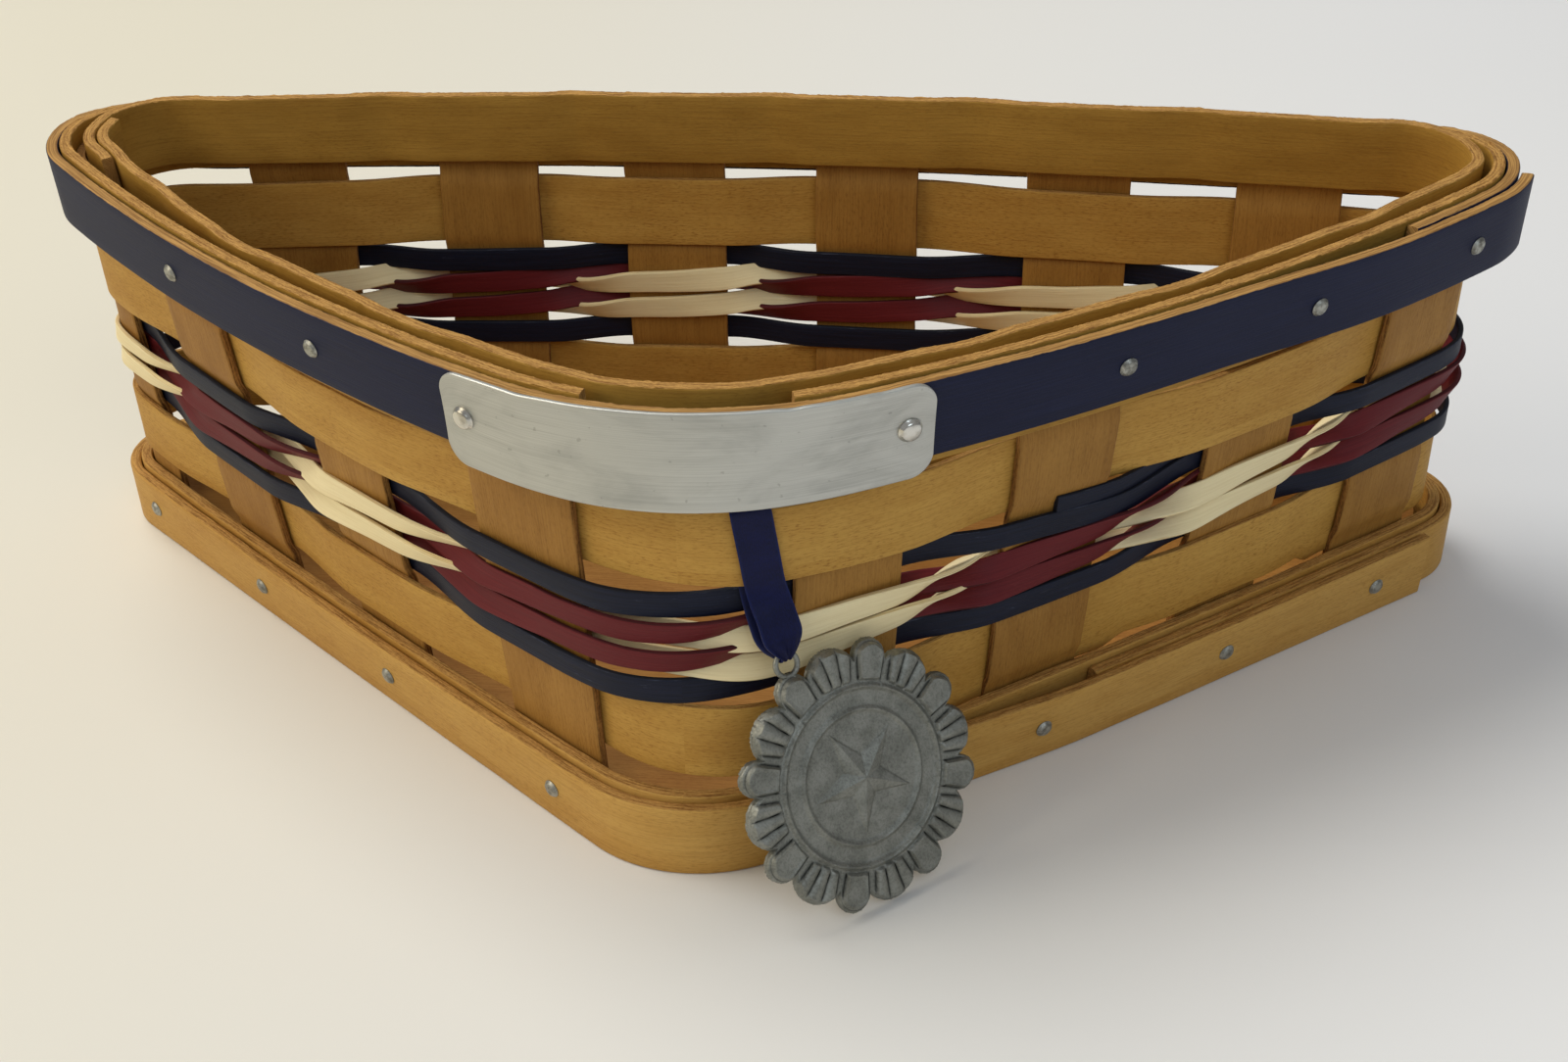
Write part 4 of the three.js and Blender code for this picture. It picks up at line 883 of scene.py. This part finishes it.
def make_twined_strands():
    """Twined pairs: a flat ring carried along the strand's course, turned as the strand turns."""
    at = stations(1680)
    depths, heights, raw = strip_ring(TWINED_WIDTH, TWINED_THICKNESS, 0.22, 4)
    for number, (color, first, row) in enumerate((("cream", 0, "upper"), ("red", 1, "upper"),
                                                  ("cream", 0, "lower"), ("red", 1, "lower"))):
        out, up, turn = (values[:, None] for values in strand_course(at, first))
        swell = 1 + 0.05 * wander(at, 500 + number, 3, 60)[:, None]
        across = TWINED_THICKNESS / 2 - depths
        along = (heights - TWINED_WIDTH / 2) * swell
        depth = out + across * np.cos(turn) - along * np.sin(turn)
        height = up + across * np.sin(turn) + along * np.cos(turn)
        middle = row_height(f"pair_{row}", at) + 0.12 * wander(at, 520 + number, 2, 40)
        points = wall_points(at[:, None], middle[:, None] + height, UPRIGHT_MIDDLE - depth)
        name = f"weaver_{color}_{row}"
        make_piece(f"{name}_strand", points, color, raw, closed=True, stands_for=(name,), offset=2.1 * number)


NAVY_END = 1 + share(NAVY_LAP_END)
BASE_END = 1 + share(BASE_LAP_END)
INNER_START = share(INNER_LAP_START)


def navy_inset(at):
    """Depth of the navy strip's outer face."""
    return lap_inset(0.0, at, NAVY_END, NAVY_LAP)


def base_inset(at):
    """Depth of the base band's outer face."""
    return lap_inset(0.0, at, BASE_END, BASE_LAP)


def drawn_together(at):
    """How far the inner band is drawn out towards the outer one between the uprights."""
    off = np.abs((at[:, None] - PLACES + 0.5) % 1 - 0.5).min(axis=1)
    return 0.7 * smooth((off - share(9)) / share(9))


def make_band(name, finish, at, low, high, inset, rounding, rows, seed, offset=0.0, closed=False, **edges):
    """A strip of the wall between a lower and an upper edge, with no point of it below the floor."""
    points, raw = wall_strip(at, low, high, inset, BAND_THICKNESS, rounding, rows, seed, **edges)
    points[..., 2] = np.maximum(points[..., 2], 0)
    make_piece(f"{name}_wood", points, finish, raw, closed=closed, stands_for=(name,), offset=offset)


def make_bands():
    """The three rim bands, the base strip and the base band, with their laps."""
    at = np.linspace(NAVY_END - 1 - share(NAVY_LAP), NAVY_END, 1000)
    top = rim_height(at) - NAVY_BACK_DROP * along_back(at)
    make_band("rim_navy_strip", "navy_strip", at, top - NAVY_STRIP_WIDTH, top, navy_inset(at), 0.3, 7,
              101, edge_wave=0.08, roughness=0.06)
    at = np.linspace(share(OUTER_RIM_START), 1 + share(OUTER_RIM_END), 1200)
    top = rim_height(at) + OUTER_RIM_TOP
    make_band("rim_outer_band", "rim", at, top - OUTER_RIM_WIDTH + OUTER_BACK_LIFT * along_back(at),
              top - OUTER_BACK_DROP * along_back(at), SECOND_INSET, 0.25, 7, 111, 3.0,
              edge_wave=0.08, roughness=0.09)
    at = np.linspace(INNER_START, INNER_START + 1 + share(INNER_LAP), 1200)
    ramp = smooth((at - INNER_START - share(INNER_LAP)) / share(LAP_RAMP))
    low = rim_height(at) + INNER_RIM_TOP - INNER_RIM_WIDTH + INNER_BACK_LIFT * along_back(at)
    make_band("rim_inner_band", "rim", at, low, rim_height(at) + INNER_RIM_TOP,
              INNER_INSET + SECOND_INSET * (1 - ramp) - drawn_together(at), 0.25, 7, 121, 7.0,
              edge_wave=0.06, roughness=0.07)
    make_band("base_inner_strip", "base", stations(900), 0.0, BASE_STRIP_HEIGHT, SECOND_INSET, 0.3, 6,
              131, 9.0, closed=True, edge_wave=0.08, roughness=0.05)
    at = np.linspace(BASE_END - 1 - share(BASE_LAP), BASE_END, 1000)
    make_band("base_outer_band", "base", at, 0.0, BASE_BAND_HEIGHT, base_inset(at), 0.45, 6,
              141, 11.0, edge_wave=0.08, roughness=0.05)


def make_board():
    """The base board: rings of the plan inside the uprights, shrunk towards its middle, on its
    underside and its top, joined by an upright edge."""
    at = stations(360)
    parts = np.concatenate([np.linspace(0.02, 1, 12), np.linspace(1, 0.02, 12)])
    z = np.concatenate([np.zeros(12), np.full(12, BOARD_THICKNESS)])
    rim = wall_points(at[:, None], z[None, :], INNER_INSET)
    points = rim.copy()
    points[..., :2] = BOARD_MIDDLE + (rim[..., :2] - BOARD_MIDDLE) * parts[None, :, None]
    flat = np.swapaxes(points, 0, 1)[:, ::-1]
    piece = make_piece("base_board_wood", flat, "board", stands_for=("base_board",))
    uv = np.empty(2 * len(piece.data.loops), np.float32)
    corners = np.empty(len(piece.data.loops), np.int32)
    piece.data.loops.foreach_get("vertex_index", corners)
    uv[0::2] = flat.reshape(-1, 3)[corners, 0] * MM
    uv[1::2] = flat.reshape(-1, 3)[corners, 1] * MM
    piece.data.uv_layers["grain"].data.foreach_set("uv", uv)


# Nails, tag and medallion

def turned_solid(name, profile, origin, axis, finish, stands_for=(), sides=28, body="basket"):
    """A solid turned about an axis: each profile point is a radius and a distance along the axis."""
    axis = axis / np.linalg.norm(axis)
    first = np.cross(axis, [0, 0, 1.0])
    first /= np.linalg.norm(first)
    second = np.cross(axis, first)
    turn = np.linspace(0, 2 * np.pi, sides, endpoint=False)
    spoke = np.outer(np.cos(turn), first) + np.outer(np.sin(turn), second)
    profile = np.asarray(profile, float)
    points = origin + profile[:, 0, None, None] * spoke[None] + profile[:, 1, None, None] * axis
    make_piece(name, points, finish, stands_for=stands_for, body=body)


def nail_profile(head, height, shank, length):
    """From the point inwards to the crown: a point, a shank, the underside, a round edge, a dome."""
    turn = np.linspace(0, np.pi / 2, 7)
    dome = np.stack([head * 0.82 * np.cos(turn), height * (0.62 + 0.38 * np.sin(turn))], axis=1)
    dome[-1, 0] = 0.02
    stem = [(0.05, -length), (shank, -length + 1.4), (shank, 0.05), (head * 0.96, 0.0), (head, height * 0.22)]
    return np.concatenate([stem, dome])


RIM_NAIL_SHIFT = {"right_2": 5.3, "right_3": 1.8, "left_1": -6.9, "left_2": 6.9, "left_3": 6.3}
BASE_NAIL_SHIFT = {"right_2": -1.2, "right_3": -1.8, "right_4": -3, "left_1": 5, "left_2": 2.9, "left_3": 2.9,
                   "left_4": 3.3}
RIM_NAIL_DROP, BASE_NAIL_HEIGHT = 6.6, 6.4
NAIL_HEAD, NAIL_RISE, NAIL_SHANK = 1.5, 0.75, 0.65
TAG_CENTRE, TAG_LENGTH, TAG_WIDTH, TAG_TOP, TAG_CORNER, TAG_THICKNESS = 1.2, 73, 15.4, 0.6, 3.6, 0.8
TAG_DENTS = ((-21, 2.2, 0.16), (17, 1.6, 0.2), (30, 1.8, 0.14))
RIVET_OFF, RIVET_INSET, RIVET_HEAD, RIVET_RISE, RIVET_LENGTH = 32.7, -0.85, 1.85, 1.0, 12


def near_end(at, end):
    """The same place counted one turn further, where a lapped strip still reaches it before its end."""
    return at + 1 if at + 1 < end else at


def nail(name, place, z, face, depth):
    """A nail through the wall's layers, square to the wall, its head on the face at the given depth."""
    turned_solid(f"{name}_head", nail_profile(NAIL_HEAD, NAIL_RISE, NAIL_SHANK, depth - face),
                 wall_points(place, z, face), wall_normal(place, z), "steel", (name,))


def make_nails():
    """Domed nails through every upright at the rim, but the two under the tag, and at the base."""
    for name, at in UPRIGHTS.items():
        if name not in ("right_1", "left_4"):
            place = at + share(RIM_NAIL_SHIFT.get(name, 0))
            face = float(navy_inset(np.array(near_end(place, NAVY_END)))) + 0.05
            nail(f"rim_nail_{name}", place, float(rim_height(place)) - RIM_NAIL_DROP, face,
                 INNER_INSET + BAND_THICKNESS - 0.5)
        place = at + share(BASE_NAIL_SHIFT.get(name, 0))
        face = float(base_inset(np.array(near_end(place, BASE_END)))) + 0.05
        nail(f"base_nail_{name}", place, BASE_NAIL_HEIGHT, face, INNER_INSET + 6)


def make_tag():
    """A blank metal strip bent round the front corner, its ends rounded by quarter circles, drawn in a
    little round its rivets, and lightly dented along its upper edge."""
    start, end = TAG_CENTRE - TAG_LENGTH / 2, TAG_CENTRE + TAG_LENGTH / 2
    bend = TAG_CORNER * (1 - np.cos(np.linspace(0.12, np.pi / 2, 14)))
    straight = np.linspace(start + TAG_CORNER, end - TAG_CORNER, 180)[1:-1]
    run = np.concatenate([start + bend, straight, end - bend[::-1]])
    at = share(run)
    x = np.maximum(0, TAG_CORNER - np.minimum(run - start, end - run))
    cut = TAG_CORNER - np.sqrt(np.maximum(0, TAG_CORNER ** 2 - x ** 2))
    dents = sum(deep * np.exp(-((run - where) / wide) ** 2) for where, wide, deep in TAG_DENTS)
    low = rim_height(at) + TAG_TOP - TAG_WIDTH + cut
    high = rim_height(at) + TAG_TOP - cut - dents
    depth, height, raw = strip_ring(TAG_WIDTH, TAG_THICKNESS, 0.22, 16)
    z = low[:, None] + (high - low)[:, None] * height / TAG_WIDTH
    rivet_z = RIM_HEIGHT - RIM_NAIL_DROP
    drawn = sum(0.22 * np.exp(-(((run - TAG_CENTRE - side)[:, None] / 2.6) ** 2 + ((z - rivet_z) / 2.6) ** 2))
                for side in (-RIVET_OFF, RIVET_OFF))
    curl = 0.16 * (np.abs(z - rivet_z) / 7) ** 3
    curl = curl + 0.12 * wander(at, 900, 6, 60)[:, None] * (height / TAG_WIDTH) ** 3
    points = wall_points(at[:, None], z, -SEAT - TAG_THICKNESS + 0.1 + depth + drawn - curl)
    make_piece("tag_plate", points, "tag", raw, stands_for=("tag",))
    for side, off in (("right", RIVET_OFF), ("left", -RIVET_OFF)):
        place = share(TAG_CENTRE + off)
        turned_solid(f"tag_rivet_{side}_head", nail_profile(RIVET_HEAD, RIVET_RISE, NAIL_SHANK, RIVET_LENGTH),
                     wall_points(place, rivet_z, RIVET_INSET), wall_normal(place, rivet_z), "rivet",
                     (f"tag_rivet_{side}",), 36)


def lobe_reach(angle, middle, tip, radius):
    """How far out a ring of eight round lobes reaches at an angle: the far side of the nearest lobe's
    circle, seen from the middle of the ring."""
    pitch = np.pi / 4
    off = np.abs((angle - middle + pitch / 2) % pitch - pitch / 2)
    centre = tip - radius
    half = radius ** 2 - (centre * np.sin(off)) ** 2
    return np.where(half > 0, centre * np.cos(off) + np.sqrt(np.maximum(half, 0)), 0)


def step_edge(value, width):
    """0 to 1 across a soft edge of the given width, centred where the value is 0."""
    return smooth(value / width + 0.5)


def medallion_relief(angle, radius):
    """Height of the face at an angle and a distance from its middle. Raised oval petals and fans of
    five flutes take turns outside a thin raised ring; inside it are a second ring and a plain
    five-pointed star whose faces slope down from its ridges."""
    pitch = np.pi / 4
    petal_off = (angle + pitch / 2) % pitch - pitch / 2
    x, y = radius * np.cos(petal_off), radius * np.sin(petal_off)
    half_width = PETAL_HALF_WIDTH - 0.1 * (19.6 - x).clip(0) ** 1.15
    pad = np.minimum(half_width - np.abs(y),
                     PETAL_HALF_WIDTH - np.hypot(x - PETAL_ROUND, y) * (x > PETAL_ROUND))
    pad = np.minimum(pad, x - PETAL_FOOT)
    petal = 0.62 * step_edge(pad - 0.1, 0.5) - 0.1 * step_edge(pad - 0.55, 0.5)
    fan_off = angle % pitch - pitch / 2
    fx, fy = radius * np.cos(fan_off), radius * np.sin(fan_off)
    spread = np.arctan2(fy, fx - FAN_POINT)
    flute = np.abs(np.sin(spread / FLUTE_PITCH * np.pi / 2 + np.pi / 2))
    inside_fan = step_edge(FAN_SPREAD - np.abs(spread), 0.03) * step_edge(fx - PETAL_FOOT, 0.4)
    inside_fan = inside_fan * step_edge(FAN_TOP - np.hypot(fx, fy * 0.6), 0.5)
    fan = 0.6 * inside_fan * np.sqrt(np.clip(flute, 0, 1)) * (1 - 0.12 * step_edge(radius - 18.6, 1))
    outer = np.maximum(petal, fan) * step_edge(radius - RELIEF_START, 0.3)
    ring = 0.6 * np.exp(-((radius - MEDAL_RING) / 0.42) ** 2)
    ring += 0.45 * np.exp(-((radius - MEDAL_INNER_RING) / 0.38) ** 2)
    star_off = np.abs((angle + np.pi / 5) % (2 * np.pi / 5) - np.pi / 5)
    tip, notch = MEDAL_STAR, MEDAL_STAR * 0.382
    edge_x, edge_y = notch * np.cos(np.pi / 5) - tip, notch * np.sin(np.pi / 5)
    edge_length = np.hypot(edge_x, edge_y)
    sx, sy = radius * np.cos(star_off), radius * np.sin(star_off)
    inside_star = ((sx - tip) * edge_y - sy * edge_x) / edge_length
    star = 0.95 * np.clip(-inside_star / 2.6, 0, 1) + 0.18 * step_edge(-inside_star, 0.3)
    dish = 0.45 + 0.1 * step_edge(radius - RELIEF_START, 0.6)
    return dish + outer + ring + star * (radius < 9)


def make_medallion():
    """The cast medallion: a polar grid over its face, its stepped edge and its back, and a wire eye
    on a short neck above it."""
    around, face_rings = 720, 92
    angle = np.linspace(0, 2 * np.pi, around, endpoint=False)[:, None]
    reach = np.maximum(lobe_reach(angle, 0, MEDAL_RADIUS, PETAL_LOBE),
                       lobe_reach(angle, np.pi / 8, MEDAL_RADIUS * FAN_REACH, FAN_LOBE))
    spread = np.linspace(0.004, 1, face_rings)[None, :]
    face_radius = spread * (reach - 0.45)
    face_z = medallion_relief(angle, face_radius)
    fade = step_edge(1 - spread, 0.02)
    side_radius = np.concatenate([reach + step for step, _ in MEDAL_EDGE], axis=1)
    side_z = np.repeat(np.array([[z for _, z in MEDAL_EDGE]]), around, axis=0)
    rough = np.random.default_rng(5).normal(size=side_radius.shape) * 0.05
    back_radius = np.linspace(1, 0.004, 14)[None, 1:] * (reach - 0.35)
    radius = np.concatenate([face_radius, side_radius + rough, back_radius], axis=1)
    z = np.concatenate([face_z * (0.6 + 0.4 * fade), side_z, np.full_like(back_radius, MEDAL_BACK)], axis=1)
    right, up, out = medallion_axes()
    roll = math.radians(MEDAL_ROLL)
    x_axis = right * math.cos(roll) + up * math.sin(roll)
    y_axis = up * math.cos(roll) - right * math.sin(roll)
    local_x, local_y = radius * np.sin(angle), radius * np.cos(angle) - MEDAL_NECK
    points = EYE_CENTRE + local_x[..., None] * x_axis + local_y[..., None] * y_axis + z[..., None] * out
    # Painted shade for the pewter: each point darkens by how far it lies below its blurred surroundings. The
    # low ground outside the ring darkens a little more, the shade is lifted about 14.1 mm from the middle
    # where the relief begins, and the back gets an even touch.
    blurred = z.copy()
    for _ in range(3):
        blurred[:, 1:-1] = (blurred[:, :-2] + blurred[:, 1:-1] + blurred[:, 2:]) / 3
        around_mean = (np.roll(blurred, 2, axis=0) + blurred + np.roll(blurred, -2, axis=0)) / 3
        blurred = np.where(radius > 13.9, around_mean, blurred)
    painted_shade_depth = np.clip((blurred - z) * 3.2, 0, 1)
    painted_shade_depth[:, :face_rings] += 0.35 * np.clip(0.62 - z[:, :face_rings], 0, 0.2) / 0.2 * (face_radius > 13.9)
    painted_shade_depth[:, :face_rings] *= 1 - 0.8 * np.exp(-((face_radius - 14.1) / 0.4) ** 2)
    painted_shade_depth[:, face_rings + len(MEDAL_EDGE):] = 0.1
    rings = np.swapaxes(points, 0, 1)
    make_piece("medallion_rosette", rings[:, ::-1], "pewter", stands_for=("medallion",), body="medallion",
               painted_shade=np.swapaxes(painted_shade_depth, 0, 1)[:, ::-1])
    turn = np.linspace(0, 2 * np.pi, 64, endpoint=False)[:, None]
    wire = np.linspace(0, 2 * np.pi, 14, endpoint=False)[None, :]
    spoke = np.cos(turn)[..., None] * x_axis + np.sin(turn)[..., None] * y_axis
    eye = EYE_CENTRE + right * EYE_ASIDE
    ring = eye + spoke * (EYE_RADIUS + EYE_WIRE * np.cos(wire))[..., None]
    ring = ring + out * (EYE_WIRE * np.sin(wire))[..., None]
    make_piece("medallion_eye", ring[:, ::-1], "pewter", closed=True, body="medallion",
               painted_shade=np.zeros(ring.shape[:2]))
    down = EYE_CENTRE - y_axis * MEDAL_NECK * 0.6 - eye
    down /= np.linalg.norm(down)
    neck = [(0.4, 0), (0.5, 0.5), (0.85, 1.2), (1.1, 2.4)]
    turned_solid("medallion_neck", neck, eye + down * EYE_RADIUS, down, "pewter", sides=20, body="medallion")


# Floor and light

def make_stage():
    """A pale seamless floor with a painted tint of light, warmer on the left and cooler on the right, by its
    own coordinates.
    """
    mesh = bpy.data.meshes.new("floor")
    size = 6.0
    corners = [(-size, -size, 0), (size, -size, 0), (size, size, 0), (-size, size, 0)]
    mesh.from_pydata(corners, [], [(0, 1, 2, 3)])
    f = Finish("floor_paper", Roughness=0.75, Specular_IOR_Level=0.25)
    found = f.place()
    sideways = f.node("ShaderNodeSeparateXYZ", None, {0: found}, output=0)
    warm = sideways.between(-0.25, 0.2)
    soft = f.noise(found, 6.0, 2.0, 0.5)
    # Painted light: the floor goes from a warm lamp tint on the left to a cool one on the right.
    color = f.mix(warm * 0.9 + soft * 0.1, (224, 218, 200), (236, 237, 240))
    f.set(Base_Color=color)
    mesh.materials.append(f.material)
    floor = bpy.data.objects.new("floor", mesh)
    bpy.context.scene.collection.objects.link(floor)


def area_light(name, place, aim, size, power, color):
    """A round lamp, turned to shine from its place towards its aim."""
    light = bpy.data.lights.new(name, "AREA")
    light.shape = "DISK"
    light.size = size
    light.energy = power
    light.color = color
    lamp = bpy.data.objects.new(name, light)
    bpy.context.scene.collection.objects.link(lamp)
    away = np.array(place, float) - np.array(aim, float)
    away /= np.linalg.norm(away)
    level = np.cross([0, 0, 1.0], away)
    level /= np.linalg.norm(level)
    turn = np.eye(4)
    turn[:3, :3] = np.stack([level, np.cross(away, level), away], axis=1)
    turn[:3, 3] = place
    lamp.matrix_world = Matrix(turn.tolist())


# Place in metres, size, watts and colour
LIGHTS = {"window": ((-0.6, 0.3, 1.3), 1.0, 12, (1.0, 0.98, 0.93)),
          "room": ((-1.0, -0.45, 0.75), 0.9, 5.4, (1.0, 0.89, 0.68)),
          "sky": ((0.6, -0.9, 1.0), 0.8, 3.2, (0.77, 0.89, 1.0))}
LIGHT_AIM = (0, 0, 0.03)
SURROUND_COLOR, SURROUND_LEVEL = (0.86, 0.87, 0.88, 1), 0.355


def make_light():
    """Soft daylight from behind and above on the left, a weaker warm light from the left, a cool one
    from the front on the right, and an even pale surround."""
    for name, (place, size, power, color) in LIGHTS.items():
        area_light(name, place, LIGHT_AIM, size, power, color)
    world = bpy.data.worlds.new("surround")
    bpy.context.scene.world = world
    world.use_nodes = True
    world.node_tree.nodes["Background"].inputs["Color"].default_value = SURROUND_COLOR
    world.node_tree.nodes["Background"].inputs["Strength"].default_value = SURROUND_LEVEL
    bpy.context.scene.view_settings.view_transform = "Standard"


photo_camera()
make_ribbon()
make_uprights()
make_plain_weavers()
make_strand_end()
make_twined_strands()
make_bands()
make_board()
make_nails()
make_tag()
make_medallion()
make_stage()
make_light()
